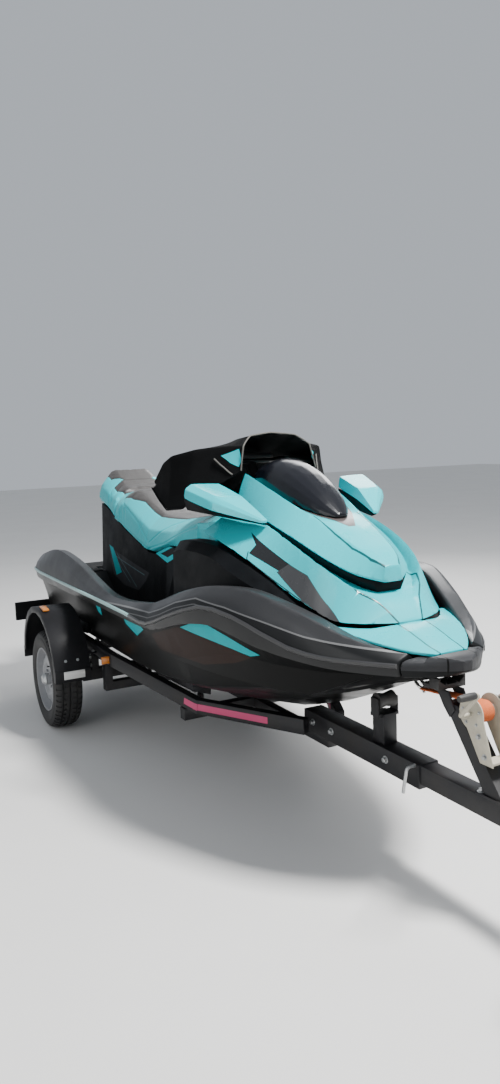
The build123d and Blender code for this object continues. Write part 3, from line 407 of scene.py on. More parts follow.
# Distances in metres from the stern: where the painted highlight along each gunwale's band begins, and
# where the pale rubbing strip ends
BAND_HIGHLIGHT_START, RUBBING_PALE_END = 1.62, 1.94
WHITE_REFLECTORS = (1.20, 1.34)     # the amber markers begin where they end
AMBER_ENDS = 0.60               # tail lamps are amber beyond this from the centreline


def hull_finish(settings):
    """Black gel coat with teal flashes and a dark brown panel under the gunwales."""
    made = Finish("hull_gelcoat", settings.hull_colour, 0.32, specular=0.07)
    dust = made.ramp(made.noise(3.0, 7, roughness=0.7), 0.5, 0.8, 0.0, 0.04)
    made.colour(made.mixed(dust, settings.hull_colour, (0.12, 0.11, 0.09)))
    sides = made.above(made.out, HULL_SIDES)
    made.coat(made.both(made.panels(*HULL_UMBER), sides), (0.019, 0.0095, 0.007))
    made.coat(made.both(made.panels(*HULL_TEAL), sides), shaded(settings.paint, 0.62))
    return made


def gunwale_finish(settings):
    """Metallic grey above the rubbing line, satin black below it, and a painted highlight along the
    crease between.
    """
    made = metallic_paint("slate_metallic", settings.trim_colour)
    height = made.attribute("above_band")
    made.coat(made.below(height, 0.0), (0.008, 0.0085, 0.009))
    # Painted highlight: a pale line along the crease at the band's upper edge, on the gunwale's forward
    # part
    edge = made.both(made.below(made.math("ABSOLUTE", height), 0.0028),
                     made.above(made.x, STERN_X + BAND_HIGHLIGHT_START))
    made.coat(edge, (0.16, 0.16, 0.16))
    inner = made.math("COMPARE", height, -0.022, 0.0022)
    made.coat(made.both(inner, made.panels(CHEVRON)), (0.10, 0.10, 0.10))
    return made


def hood_finish(settings):
    """Lacquered hood with plain side panels in black and grey, and painted shade along its creases."""
    made = gloss_paint("hood_teal", settings.paint)
    sides = made.above(made.out, HOOD_SIDES)
    made.coat(made.both(made.lines(HOOD_LINES, 0.0035), sides), (0.020, 0.045, 0.048))
    made.coat(made.both(made.panels(*HOOD_BLACK), sides), (0.009, 0.010, 0.011))
    made.coat(made.both(made.panels(*HOOD_GREY), sides), (0.040, 0.041, 0.043))
    # Painted shade: the paint is darkened to near black along the hood's creases
    made.coat(made.creases(HOOD_CREASE), shaded(settings.paint, 0.16))
    return made


def crease_shaded_finish(settings, name, crease, patch=None):
    """Lacquered panel with painted shade along a crease on both sides, and a grey patch if one is given.
    """
    made = gloss_paint(name, settings.paint)
    # Painted shade: the paint is darkened to near black along the crease
    made.coat(made.creases(crease), shaded(settings.paint, 0.16))
    if patch:
        made.coat(made.inside(made.x, made.y, plan_view(patch)), (0.070, 0.058, 0.056))
    return made


def bumper_finish(settings):
    """Moulding close to the gunwales' colour, with a black foot and two dark seams a side."""
    made = moulded_black("bumper_moulding", shaded(settings.trim_colour, 0.8), 700.0, 0.42)
    made.coat(made.below(made.z, KEEL_Z + BUMPER_BLACK_TOP), (0.010, 0.0105, 0.011))
    made.coat(made.creases(*BUMPER_SEAMS), (0.006, 0.006, 0.006))
    return made


def rubbing_finish():
    """Pale strip that ends abreast of the bars and goes on in black."""
    made = Finish("pale_trim", (0.24, 0.42, 0.41), 0.3, coat_weight=0.3)
    made.coat(made.above(made.x, STERN_X + RUBBING_PALE_END), (0.018, 0.018, 0.019))
    return made


def deck_finish(settings):
    """Black deck with a grey and teal panel on each side of the seat's pedestal."""
    made = moulded_black("deck_moulding")
    inner, outer = DECK_FLANK
    flank = made.both(made.below(made.out, outer), made.above(made.out, inner))
    flank = made.both(flank, made.above(made.z, KEEL_Z + DECK_FLANK_FOOT))
    for mask, colour in (
        (made.panels(PANEL_GREY), (0.030, 0.031, 0.034)),
        (made.lines(PANEL_LINES, 0.005), (0.075, 0.13, 0.14)),
        (made.panels(PANEL_TEAL), shaded(settings.paint, 0.7)),
        (made.panels(SLOT_TEAL), settings.paint),
        (made.panels(SLOT_BLACK), (0.01, 0.01, 0.01)),
    ):
        made.coat(made.both(mask, flank), colour)
    return made


def mat_finish():
    """Deck foam with moulded grooves along the footwells."""
    made = black_rubber("deck_foam", (0.013, 0.0135, 0.014), 0.8)
    return made.bump(made.ramp(made.waves(made.y, MAT_PITCH), -0.4, 0.2), 0.002)


def console_finish(settings):
    """Black console whose flanks are lacquered in the hood's colour."""
    made = moulded_black("console_moulding")
    flank = made.both(made.above(made.out, CONSOLE_SIDES),
                      made.above(made.z, KEEL_Z + CONSOLE_PAINT_FOOT))
    made.coat(flank, settings.paint)
    made.coat(made.both(made.lines([CONSOLE_GAP], 0.006), flank), (0.01, 0.012, 0.012))
    made.rough(made.ramp(flank, 0.0, 1.0, 0.46, 0.26))
    return made


def seat_finish(settings):
    """Coated cloth: grey on top inside the seams, and the hood's colour on the bolsters."""
    made = Finish("seat_vinyl", settings.paint, 0.44, sheen_weight=0.08)
    across = made.attribute("from_seam")
    wear = made.ramp(made.noise(7.0, 6), 0.4, 0.75, 0.0, 0.10)
    made.colour(made.mixed(wear, settings.paint, (0.25, 0.34, 0.33)))
    grey = made.mixed(made.ramp(made.noise(30.0, 6), 0.35, 0.7), (0.036, 0.033, 0.031),
                      (0.054, 0.050, 0.047))
    made.coat(made.below(across, 0.0), grey)
    made.coat(made.below(made.math("ABSOLUTE", across), 0.0016), (0.022, 0.024, 0.025))
    return made.bump(made.cells(620.0), 0.00016)


def cover_finish(settings):
    """Black coated cloth with one small patch in the hood's colour at each front corner."""
    made = woven("cover_cloth", settings.cloth_colour, shaded(settings.cloth_colour, 1.9))
    made.coat(made.both(made.panels(COVER_PATCH), made.above(made.out, COVER_SIDES)), settings.paint)
    return made


def rail_finish(settings):
    """Black rail with one plain band of colour along its forward run."""
    made = powder_coat("rail_black", (0.009, 0.009, 0.0105))
    run = [(STERN_X + x * MM, z * MM) for x, z in RAIL_BAND]
    made.coat(made.stroke(made.x, made.z, run, 0.030), settings.band_colour)
    return made


def lamp_finish():
    """Red tail lamps with amber ends, amber side markers and white front reflectors."""
    made = lens("lamp_lenses", (0.48, 0.015, 0.01))
    start, end = WHITE_REFLECTORS
    ends = made.both(made.above(made.out, AMBER_ENDS), made.below(made.x, STERN_X))
    made.coat(ends, (0.60, 0.17, 0.015))
    made.coat(made.above(made.x, STERN_X + end), (0.62, 0.19, 0.02))
    white = made.both(made.above(made.x, STERN_X + start), made.below(made.x, STERN_X + end))
    made.coat(white, (0.60, 0.60, 0.58))
    return made


PALETTE = {}


def mix_finishes(settings):
    """Makes every finish by the name that the tables below use."""
    finishes = {
        "teal": gloss_paint("teal_paint", settings.paint),
        "hood": hood_finish(settings),
        "nose": crease_shaded_finish(settings, "nose_teal", NOSE_CREASE),
        "cowl": crease_shaded_finish(settings, "cowl_teal", COWL_CREASE, DOME_FOOT),
        "slate": gunwale_finish(settings),
        "bumper": bumper_finish(settings),
        "hull": hull_finish(settings),
        "moulding": moulded_black("black_moulding"),
        "deck": deck_finish(settings),
        "console": console_finish(settings),
        "guard": moulded_black("guard_plastic", (0.012, 0.012, 0.013), 600.0, 0.36),
        "foam": mat_finish(),
        "trim": rubbing_finish(),
        "screen": Finish("smoked_screen", (0.006, 0.0065, 0.009), 0.20, specular=0.35),
        "glass": Finish("mirror_glass", (0.80, 0.82, 0.84), 0.03, metallic=1.0),
        "vinyl": seat_finish(settings),
        "cloth": cover_finish(settings),
        "piping": woven("cover_piping", (0.14, 0.13, 0.12), (0.10, 0.10, 0.09)),
        "bar": powder_coat("bar_black", (0.014, 0.014, 0.014), 0.38, 0.05),
        "rubber": black_rubber("black_rubber"),
        "stainless": bare_metal("stainless", (0.62, 0.61, 0.59), 0.24, brushed=(1, 12, 12)),
        "alloy": bare_metal("cast_alloy", (0.50, 0.51, 0.52), 0.42),
        "block": powder_coat("power_unit_paint", (0.05, 0.052, 0.055), 0.5, 0.05),
        "frame": powder_coat("frame_black", (0.009, 0.009, 0.0105)),
        "rail": rail_finish(settings),
        "zinc": bare_metal("galvanised", (0.52, 0.53, 0.53), 0.40, spangle=0.8),
        "cream": powder_coat("winch_cream", (0.50, 0.46, 0.36), 0.35, 0.55),
        "webbing": woven("strap_webbing", settings.strap_colour,
                         shaded(settings.strap_colour, 0.7)),
        "carpet": black_rubber("bunk_carpet", (0.028, 0.028, 0.031), 0.95),
        "tyre": black_rubber("tyre_rubber", (0.010, 0.010, 0.0105), 0.7, 0.25),
        "silver": powder_coat("rim_silver", (0.22, 0.225, 0.235), 0.34, 0.45),
        "lens": lamp_finish(),
        "amber": lens("amber_lens", (0.62, 0.20, 0.02)),
        "plate": powder_coat("blank_plate", (0.62, 0.62, 0.60), 0.3, 0.12),
    }
    PALETTE.update({name: made.material for name, made in finishes.items()})


# Mesh helpers
def deselect():
    if bpy.context.object and bpy.context.object.mode != "OBJECT":
        bpy.ops.object.mode_set(mode="OBJECT")
    bpy.ops.object.select_all(action="DESELECT")


def activate(piece):
    deselect()
    piece.select_set(True)
    bpy.context.view_layer.objects.active = piece


def edit(piece):
    """Opens a piece in edit mode with everything selected."""
    activate(piece)
    bpy.ops.object.mode_set(mode="EDIT")
    bpy.ops.mesh.select_all(action="SELECT")


def leave_edit():
    bpy.ops.object.mode_set(mode="OBJECT")


def face_outwards():
    """Turns every face of the piece in edit mode outwards and leaves the mode."""
    bpy.ops.mesh.select_all(action="SELECT")
    bpy.ops.mesh.normals_make_consistent(inside=False)
    leave_edit()


def named(name):
    """Names the piece that was made last."""
    piece = bpy.context.object
    piece.name = piece.data.name = name
    return piece


def apply_modifier(piece, kind, **settings):
    """Adds a modifier with its settings and applies it."""
    activate(piece)
    modifier = piece.modifiers.new(kind.title(), kind)
    for key, value in settings.items():
        setattr(modifier, key, value)
    bpy.ops.object.modifier_apply(modifier=modifier.name)


def smooth(piece, angle=35):
    activate(piece)
    bpy.ops.object.shade_smooth_by_angle(angle=radians(angle))


def rounded(piece, width, segments=2, angle=28):
    """Rounds the edges that turn more than the angle."""
    apply_modifier(piece, "BEVEL", width=width, segments=segments, limit_method="ANGLE",
                   angle_limit=radians(angle))


def subdivided(piece, levels):
    apply_modifier(piece, "SUBSURF", levels=levels, render_levels=levels)


def select_faces(piece, wanted):
    """Selects the faces whose centre and normal the function accepts, and opens edit mode."""
    edit(piece)
    bpy.ops.mesh.select_mode(type="FACE")
    bpy.ops.mesh.select_all(action="DESELECT")
    leave_edit()
    for face in piece.data.polygons:
        face.select = wanted(face.center, face.normal)
    bpy.ops.object.mode_set(mode="EDIT")


def raised(piece, wanted, height):
    """Moves the accepted faces out by a height, with new walls round them."""
    select_faces(piece, wanted)
    bpy.ops.mesh.extrude_region_shrink_fatten(TRANSFORM_OT_shrink_fatten={"value": height})
    leave_edit()


def inset(piece, wanted, rim, depth):
    """Leaves a rim round the accepted faces and moves what is inside it by the depth."""
    select_faces(piece, wanted)
    bpy.ops.mesh.inset(thickness=rim, depth=depth)
    leave_edit()


def chain(name, points, filled=False):
    """Edges through the points, drawn out from one point; filled makes the outline a face."""
    deselect()
    bpy.ops.mesh.primitive_plane_add(size=0.001, location=points[0])
    piece = named(name)
    bpy.ops.object.transform_apply(location=True)
    edit(piece)
    bpy.ops.mesh.select_mode(type="VERT")
    bpy.ops.mesh.merge(type="CENTER")
    for a, b in zip(points, points[1:]):
        bpy.ops.mesh.extrude_region_move(TRANSFORM_OT_translate={"value": Vector(b) - Vector(a)})
    if filled:
        bpy.ops.mesh.select_all(action="SELECT")
        bpy.ops.mesh.edge_face_add()
    leave_edit()
    return piece


def plate(name, outline, depth, bevel=0.001):
    """Plate with a flat outline, drawn out by the depth vector, with rounded edges."""
    piece = chain(name, outline, filled=True)
    edit(piece)
    bpy.ops.mesh.extrude_region_move(TRANSFORM_OT_translate={"value": depth})
    face_outwards()
    rounded(piece, bevel)
    smooth(piece)
    return piece


def turned(name, profile, centre, axis, steps=32):
    """Solid of revolution: profile points as (along the axis, radius) about a centre."""
    axis = Vector(axis).normalized()
    away = axis.orthogonal().normalized()
    points = [Vector(centre) + axis * along_axis + away * radius for along_axis, radius in profile]
    piece = chain(name, points)
    edit(piece)
    bpy.ops.mesh.spin(steps=steps, angle=2 * pi, center=centre, axis=axis)
    bpy.ops.mesh.select_all(action="SELECT")
    bpy.ops.mesh.remove_doubles(threshold=0.00003)
    face_outwards()
    smooth(piece)
    return piece


def bent(points, radius, count=5):
    """The points of a run with each corner rounded."""
    route = [Vector(points[0])]
    for a, b, c in zip(points, points[1:], points[2:]):
        a, b, c = Vector(a), Vector(b), Vector(c)
        reach = min(radius, (a - b).length * 0.45, (c - b).length * 0.45)
        start, end = b + (a - b).normalized() * reach, b + (c - b).normalized() * reach
        for k in range(count + 1):
            t = k / count
            route.append(start * (1 - t) ** 2 + b * (2 * t * (1 - t)) + end * t**2)
    route.append(Vector(points[-1]))
    return route


def piped(name, points, radius, bend=0.0):
    """Round bar along the points."""
    piece = chain(name, bent(points, bend) if bend else points)
    activate(piece)
    bpy.ops.object.convert(target="CURVE")
    line = bpy.context.object.data
    line.bevel_depth = radius
    line.bevel_resolution = 3
    line.use_fill_caps = True
    bpy.ops.object.convert(target="MESH")
    piece = bpy.context.object
    edit(piece)
    face_outwards()
    smooth(piece, 50)
    return piece


def facing(place, towards):
    """Places a master whose own +Z looks along towards."""
    turn = Vector(towards).to_track_quat("Z", "Y").to_matrix().to_4x4()
    return Matrix.Translation(place) @ turn


def turn_angle(place, centre):
    """Angle of a place about the y axis through the centre, in radians from +X towards +Z."""
    away = Vector((place.x - centre.x, place.z - centre.z))
    return away.angle_signed(Vector((1, 0)), 0.0) % (2 * pi)


def repeated(master, name, matrices):
    """Copies of a master at each place, joined into one piece; the master goes."""
    copies = []
    for matrix in matrices:
        copy = bpy.data.objects.new(name, master.data.copy())
        copy.data.transform(matrix)
        bpy.context.scene.collection.objects.link(copy)
        copies.append(copy)
    bpy.data.objects.remove(master)
    activate(copies[0])
    for copy in copies[1:]:
        copy.select_set(True)
    bpy.ops.object.join()
    return named(name)


def measured(piece, name, value):
    """Stores value(place) of every point as an attribute."""
    layer = piece.data.attributes.new(name, "FLOAT", "POINT")
    for vertex, cell in zip(piece.data.vertices, layer.data):
        cell.value = value(vertex.co)


def copied(node, flat=0.6):
    """A new piece with a copy of a CAD node's mesh, merged into one skin with whole faces."""
    piece = bpy.data.objects.new(f"{node}_finished", frame["nodes"][node].data.copy())
    bpy.context.scene.collection.objects.link(piece)
    piece.data.materials.clear()
    edit(piece)
    bpy.ops.mesh.remove_doubles(threshold=0.00005)
    bpy.ops.mesh.dissolve_limited(angle_limit=radians(flat))
    leave_edit()
    return piece


BODY_OF = {
    node: body for body, nodes in frame["record"]["behaviour"]["bodies"].items() for node in nodes
}


def fixed(piece, node, finish):
    """Fastens an added piece to a node's body, with a finish."""
    piece.data.materials.clear()
    piece.data.materials.append(PALETTE[finish])
    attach(piece, BODY_OF[node])
    return piece


def stand_for(piece, node, finish):
    """Makes a piece stand for a CAD node, on its body, and hides the node."""
    fixed(piece, node, finish)
    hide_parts(node)
    return piece


def dressed(node, finish, bevel):
    """A CAD node's own form with rounded edges and smooth shading."""
    piece = copied(node)
    if bevel:
        rounded(piece, bevel)
    smooth(piece)
    stand_for(piece, node, finish)


CREASE_SHARPNESS = 0.92         # 1 would keep the edge fully sharp


def sculpted(node, finish, crease):
    """A lofted form, rounded except at edges that turn more than the crease angle."""
    piece = copied(node, 0.05)
    edit(piece)
    bpy.ops.mesh.tris_convert_to_quads(face_threshold=radians(30), shape_threshold=radians(120))
    leave_edit()
    mesh = bmesh.new()
    mesh.from_mesh(piece.data)
    weight = mesh.edges.layers.float.get("crease_edge") or mesh.edges.layers.float.new("crease_edge")
    for edge in mesh.edges:
        if not edge.is_manifold or edge.calc_face_angle(0.0) > radians(crease):
            edge[weight] = CREASE_SHARPNESS
    mesh.to_mesh(piece.data)
    mesh.free()
    subdivided(piece, 2)
    smooth(piece, 30)
    return stand_for(piece, node, finish)


# Which finish each node gets, with its edge rounding in metres: (node, finish, bevel)
CRAFT_PIECES = [
    ("hull", "hull", 0.004),
    ("deck", "deck", 0.006),
    ("deck_mats", "foam", 0.002),
    ("sponsons", "moulding", 0.003),
    ("rub_rails", "trim", 0.0),
    ("console", "console", 0.006),
    ("gauge", "moulding", 0.004),
    ("cowl_vent", "moulding", 0.004),
    ("grab_rail", "bar", 0.0),
    ("deck_fittings", "stainless", 0.001),
    ("boarding_step", "stainless", 0.0),
    ("ride_plate", "bar", 0.001),
    ("intake_grate", "alloy", 0.001),
    ("engine_block", "block", 0.004),
    ("steering_column", "bar", 0.001),
    ("handlebar", "bar", 0.0),
    ("hand_grips", "rubber", 0.0),
    ("handlebar_pad", "rubber", 0.004),
    ("pump_housing", "alloy", 0.001),
    ("impeller", "stainless", 0.0006),
    ("jet_nozzle", "alloy", 0.001),
    ("reverse_bucket", "alloy", 0.001),
]
# Lofted forms: (node, finish, angle from which an edge stays a crease)
CRAFT_FORMS = [
    ("gunwale_port", "slate", 22),
    ("gunwale_starboard", "slate", 22),
    ("bow_bumper", "bumper", 64),
    ("nose_panel", "nose", 22),
    ("hood", "hood", 22),
    ("hood_cowl", "cowl", 22),
    ("visor", "screen", 75),
    ("mirror_caps", "teal", 8),
    ("mirror_housings", "moulding", 8),
]
TRAILER_PIECES = [
    ("side_rails", "rail", 0.003),
    ("drawbar", "frame", 0.003),
    ("crossmembers", "frame", 0.002),
    ("axle", "frame", 0.002),
    ("rim_port", "silver", 0.0008),
    ("rim_starboard", "silver", 0.0008),
    ("mudguard_port", "guard", 0.003),
    ("mudguard_starboard", "guard", 0.003),
    ("bunks", "carpet", 0.006),
    ("keel_post", "frame", 0.001),
    ("keel_roller", "rubber", 0.002),
    ("winch_post", "frame", 0.002),
    ("bow_chock", "rubber", 0.004),
    ("winch", "cream", 0.0006),
    ("winch_strap", "webbing", 0.0005),
    ("coupling", "zinc", 0.003),
    ("jockey_clamp", "zinc", 0.002),
    ("jockey_tube", "zinc", 0.001),
    ("jockey_fork", "zinc", 0.001),
    ("jockey_wheel", "tyre", 0.003),
    ("light_board", "moulding", 0.002),
    ("lamps", "lens", 0.002),
]


def colour_setting(label, use, default):
    return bpy.props.FloatVectorProperty(name=label, description=use, size=3, subtype="COLOR",
                                         min=0.0, max=1.0, default=default)


def length_setting(label, use, default, most):
    return bpy.props.FloatProperty(name=label, description=use, default=default, min=0.0, max=most,
                                   unit="LENGTH")


class CraftSettings(bpy.types.PropertyGroup):
    """Colours and sizes that change the look of the craft and its trailer."""
    paint: colour_setting(
        "Paint", "Lacquer on the hood, mirrors, console and bolsters", (0.001, 0.480, 0.530))
    trim_colour: colour_setting(
        "Gunwales", "Metallic paint on the gunwales and the bumper", (0.033, 0.0335, 0.0355))
    hull_colour: colour_setting("Hull", "Gel coat on the hull", (0.0035, 0.0036, 0.0036))
    cloth_colour: colour_setting("Cover", "Cloth of the handlebar cover", (0.0016, 0.0017, 0.0019))
    band_colour: colour_setting(
        "Rail band", "Plain band along the trailer's rails", (0.50, 0.055, 0.15))
    strap_colour: colour_setting("Winch strap", "Webbing of the winch strap", (0.72, 0.17, 0.06))
    puff: length_setting("Padding", "Furthest that the upholstery swells", 0.010, 0.03)
    seam_depth: length_setting("Seam depth", "Depth of the sewn channels", 0.0035, 0.01)
    cover_sag: length_setting(
        "Cover sag", "How far the cloth hangs in between the bars", 0.012, 0.04)
    tread_depth: length_setting(
        "Tread depth", "Depth of the cross grooves in the tyres", 0.005, 0.01)


def craft_settings():
    return bpy.context.scene.watercraft


class FINISH_OT_finishes(bpy.types.Operator):
    """Mix the paints, plastics, metals and cloths"""
    bl_idname = "watercraft.finishes"
    bl_label = "Finishes"

    def execute(self, context):
        mix_finishes(craft_settings())
        return {"FINISHED"}


def band_height(place):
    """Height above the black band at a point of a gunwale."""
    return place.z - KEEL_Z - along(BAND_LINE, from_stern(place)) * MM


class FINISH_OT_craft_mouldings(bpy.types.Operator):
    """Round and paint the craft's mouldings and running gear"""
    bl_idname = "watercraft.craft_mouldings"
    bl_label = "Craft mouldings"

    def execute(self, context):
        for node, finish, bevel in CRAFT_PIECES:
            dressed(node, finish, bevel)
        for node, finish, crease in CRAFT_FORMS:
            piece = sculpted(node, finish, crease)
            if finish == "slate":
                measured(piece, "above_band", band_height)
        return {"FINISHED"}


# Seats. Half width of the grey top panel as (x, y): it pinches in where one cushion steps to the next
GREY_HALF = [(262, 60), (300, 148), (400, 150), (470, 98), (478, 92), (490, 165), (590, 160), (690, 108),
             (700, 104), (712, 180), (835, 165), (938, 132), (1076, 132), (1195, 121), (1500, 95),
             (1798, 70)]
STEP_SEAMS = (486, 708)         # where the next cushion's grey panel begins
SEAM_WIDTH = 0.005
# Heights in millimetres above the padding's lower edge
SWELL_START, FOOT_SEAM = -60, 14
SWELL_FADE = 0.05               # height in metres over which the padding comes free above SWELL_START
STEP_SEAM_REACH = 0.08          # how far the seam of a step runs on past the grey panel's edge
# Sewn folds down the bolsters, as (x, height above the keel)
BOLSTER_SEAMS = [
    [(486, 960), (520, 900), (590, 850)],
    [(708, 935), (760, 880), (980, 800), (1180, 690)],
    [(1560, 850), (1380, 790), (1200, 690)],
]
# Lower edge of the padding as (x, height above the keel)
PAD_FOOT = [(262, 905), (340, 892), (480, 852), (620, 796), (790, 742), (1000, 684), (1190, 640),
            (1400, 690), (1600, 764), (1798, 822)]


def past_seam(place):
    """Distance outside the edge of the grey top panel, negative within it."""
    return abs(place.y) - along(GREY_HALF, from_stern(place)) * MM


def pad_foot(place, lift):
    """Height in metres, lift millimetres above the lower edge of the padding at a place."""
    return KEEL_Z + (along(PAD_FOOT, from_stern(place)) + lift) * MM


def off_line(x, z, points):
    """Distance in metres from (x, z) in millimetres to the line through the points."""
    gaps = []
    for (x0, z0), (x1, z1) in zip(points, points[1:]):
        run, rise = x1 - x0, z1 - z0
        share = ((x - x0) * run + (z - z0) * rise) / (run**2 + rise**2)
        share = min(1.0, max(0.0, share))
        gaps.append(hypot(x - x0 - share * run, z - z0 - share * rise) * MM)
    return min(gaps)


def seam_gap(place, normal):
    """Distance in metres from a point of a seat to the nearest of its seams."""
    x = from_stern(place)
    gaps = [abs(place.z - pad_foot(place, FOOT_SEAM))]
    if normal.z > 0.1:
        gaps.append(abs(past_seam(place)))
    if abs(place.y) < along(GREY_HALF, x) * MM + STEP_SEAM_REACH:
        gaps += [abs(x - seam) * MM for seam in STEP_SEAMS]
    if past_seam(place) > 0.01:
        gaps += [off_line(x, above_keel(place), points) for points in BOLSTER_SEAMS]
    return min(gaps)


def puffed(piece, most):
    """Swells a closed form as cloth under pressure, and holds it still below the padding's foot."""
    rest = [vertex.co.copy() for vertex in piece.data.vertices]
    activate(piece)
    cloth = piece.modifiers.new("Cloth", "CLOTH")
    cloth.settings.use_pressure = True
    cloth.settings.uniform_pressure_force = 4.0
    cloth.settings.effector_weights.gravity = 0.0
    for number in range(1, 21):
        bpy.context.scene.frame_set(number)
    bpy.ops.object.modifier_apply(modifier=cloth.name)
    for vertex, place in zip(piece.data.vertices, rest):
        move = vertex.co - place
        free = min(1.0, max(0.0, (place.z - pad_foot(place, SWELL_START)) / SWELL_FADE))
        vertex.co = place + move * (min(1.0, most / max(move.length, 1e-9)) * free)
    bpy.context.scene.frame_set(1)


def cushion(node, voxel):
    """Padded seat made from the node's form: rounded, swollen, and sewn in along its seams."""
    piece = copied(node)
    edit(piece)
    bpy.ops.transform.shrink_fatten(value=-0.003)
    leave_edit()
    apply_modifier(piece, "REMESH", mode="VOXEL", voxel_size=voxel, use_smooth_shade=True)
    apply_modifier(piece, "SMOOTH", factor=0.5, iterations=5)
    puffed(piece, craft_settings().puff)
    subdivided(piece, 1)
    depth = craft_settings().seam_depth
    moves = []
    for vertex in piece.data.vertices:
        gap = seam_gap(vertex.co, vertex.normal)
        moves.append(vertex.normal * (-depth * exp(-(gap / SEAM_WIDTH) ** 2)))
    for vertex, move in zip(piece.data.vertices, moves):
        vertex.co += move
    measured(piece, "from_seam", past_seam)
    smooth(piece, 60)
    stand_for(piece, node, "vinyl")


class FINISH_OT_seats(bpy.types.Operator):
    """Pad and sew both seat cushions"""
    bl_idname = "watercraft.seats"
    bl_label = "Seats"

    def execute(self, context):
        cushion("seat_rear", 0.007)
        cushion("seat_front", 0.008)
        return {"FINISHED"}


# Handlebar cover. Sections as (x, crown z, crown y, eave y, eave z, hem y, hem z)
COVER = [
    (1650, 984, 70, 150, 962, 202, 926),
    (1764, 1076, 108, 408, 1044, 416, 1022),
    (1885, 1155, 140, 406, 1140, 428, 966),
    (1967, 1197, 150, 400, 1172, 428, 926),
    (2080, 1238, 146, 336, 1196, 400, 936),
    (2130, 1252, 136, 272, 1202, 346, 985),
    (2200, 1262, 118, 204, 1205, 266, 1042),
    (2262, 1264, 100, 162, 1203, 192, 1098),
]
CROWN_EASE = 14                 # how far the crown's corner lies below its middle
# The closed back: its share of the sheet, the height of its hem and how far it bulges astern
BACK_SHARE, BACK_HEM, BACK_BULGE = 0.07, 920, 4
# Where the front edge lies at the centre, the crown's corner, the eave and the hem
FRONT_EDGE = [(0, 2193), (1, 2214), (2, 2250), (3, 2262)]
# Piped seam on each side of the cover, as (across, ahead)
SIDE_SEAM = [(2.25, 0.845), (2.34, 0.865), (2.44, 0.885), (2.57, 0.910), (2.74, 0.935), (2.94, 0.960)]
COVER_MIDDLE = Vector((1930, 0, 960))   # the cloth hangs in towards here
# Folds: (how often across, how often ahead, seed, height)
FOLDS = ((2.4, 3.0, 4.0, 5), (9.0, 4.0, 1.0, 2.2))
COVER_COLUMNS, COVER_ROWS = 96, 72
# In metres: the cloth's thickness and its piping's radius
CLOTH_THICK = 0.0014
PIPING_RADIUS = 0.0035


def cover_place(across, ahead):
    """Point of the cover in millimetres: across from -3 to 3 by the section's corners, ahead 0 to 1."""
    corner = abs(across)
    run = max(0.0, (ahead - BACK_SHARE) / (1 - BACK_SHARE))
    x = COVER[0][0] + run * (along(FRONT_EDGE, corner) - COVER[0][0])
    row = [along([(section[0], section[k]) for section in COVER], x) for k in range(1, 7)]
    crown_z, crown_y, eave_y, eave_z, hem_y, hem_z = row
    y = along([(0, 0), (1, crown_y), (2, eave_y), (3, hem_y)], corner)
    z = along([(0, crown_z), (1, crown_z - CROWN_EASE), (2, eave_z), (3, hem_z)], corner)
    if ahead < BACK_SHARE:
        drop = 1 - ahead / BACK_SHARE
        z = z - drop * max(0.0, z - BACK_HEM)
        x = x - BACK_BULGE * sin(pi * drop / 2)
    return Vector((x, y if across > 0 else -y, z))


def drawn_in(place, depth):
    """A place of the cover, moved inwards by a depth: both in millimetres, the result in metres."""
    return craft(*(place + (COVER_MIDDLE - place).normalized() * depth))


def slack(across, ahead):
    """How much the cloth hangs in at a point: none along its edges and its taut lines."""
    span = abs(across) % 1.0
    return sin(pi * span) * (0.35 + 0.65 * sin(pi * min(1.0, ahead * 1.05)))


def cover_sheet(sag):
    """One sheet of cloth over the bars, with slack between the taut lines and soft folds."""
    deselect()
    bpy.ops.mesh.primitive_grid_add(x_subdivisions=COVER_COLUMNS, y_subdivisions=COVER_ROWS, size=2)
    piece = named("handlebar_cover_finished")
    for vertex in piece.data.vertices:
        across, ahead = vertex.co.x * 3, (vertex.co.y + 1) / 2
        fold = sum(noise.noise(Vector((across * wide, ahead * long, seed))) * height
                   for wide, long, seed, height in FOLDS)
        depth = 3 + slack(across, ahead) * (sag / MM + fold)
        vertex.co = drawn_in(cover_place(across, ahead), depth)
    apply_modifier(piece, "SMOOTH", factor=0.5, iterations=2)
    return piece


def cover_edge(name, places, finish="piping"):
    """Bound edge of the cover: a thin rolled piping along a line of its points."""
    points = [drawn_in(cover_place(across, ahead), 2) for across, ahead in places]
    return fixed(piped(name, points, PIPING_RADIUS), "handlebar_cover", finish)


class FINISH_OT_cover(bpy.types.Operator):
    """Drape the cloth cover over the handlebar"""
    bl_idname = "watercraft.cover"
    bl_label = "Handlebar cover"

    def execute(self, context):
        piece = cover_sheet(craft_settings().cover_sag)
        apply_modifier(piece, "SOLIDIFY", thickness=CLOTH_THICK, offset=0.0)
        subdivided(piece, 1)
        smooth(piece, 70)
        stand_for(piece, "handlebar_cover", "cloth")
        front = [(-3 + 6 * k / 60, 1.0) for k in range(61)]
        edges = [cover_edge("cover_front_binding", front)]
        for side, label in SIDES:
            hem = [(side * 3, k / 40) for k in range(3, 41)]
            edges.append(cover_edge(f"cover_hem_{label}", hem, "cloth"))
            seam = [(side * across, ahead) for across, ahead in SIDE_SEAM]
            edges.append(cover_edge(f"cover_seam_{label}", seam))
        return {"FINISHED"}


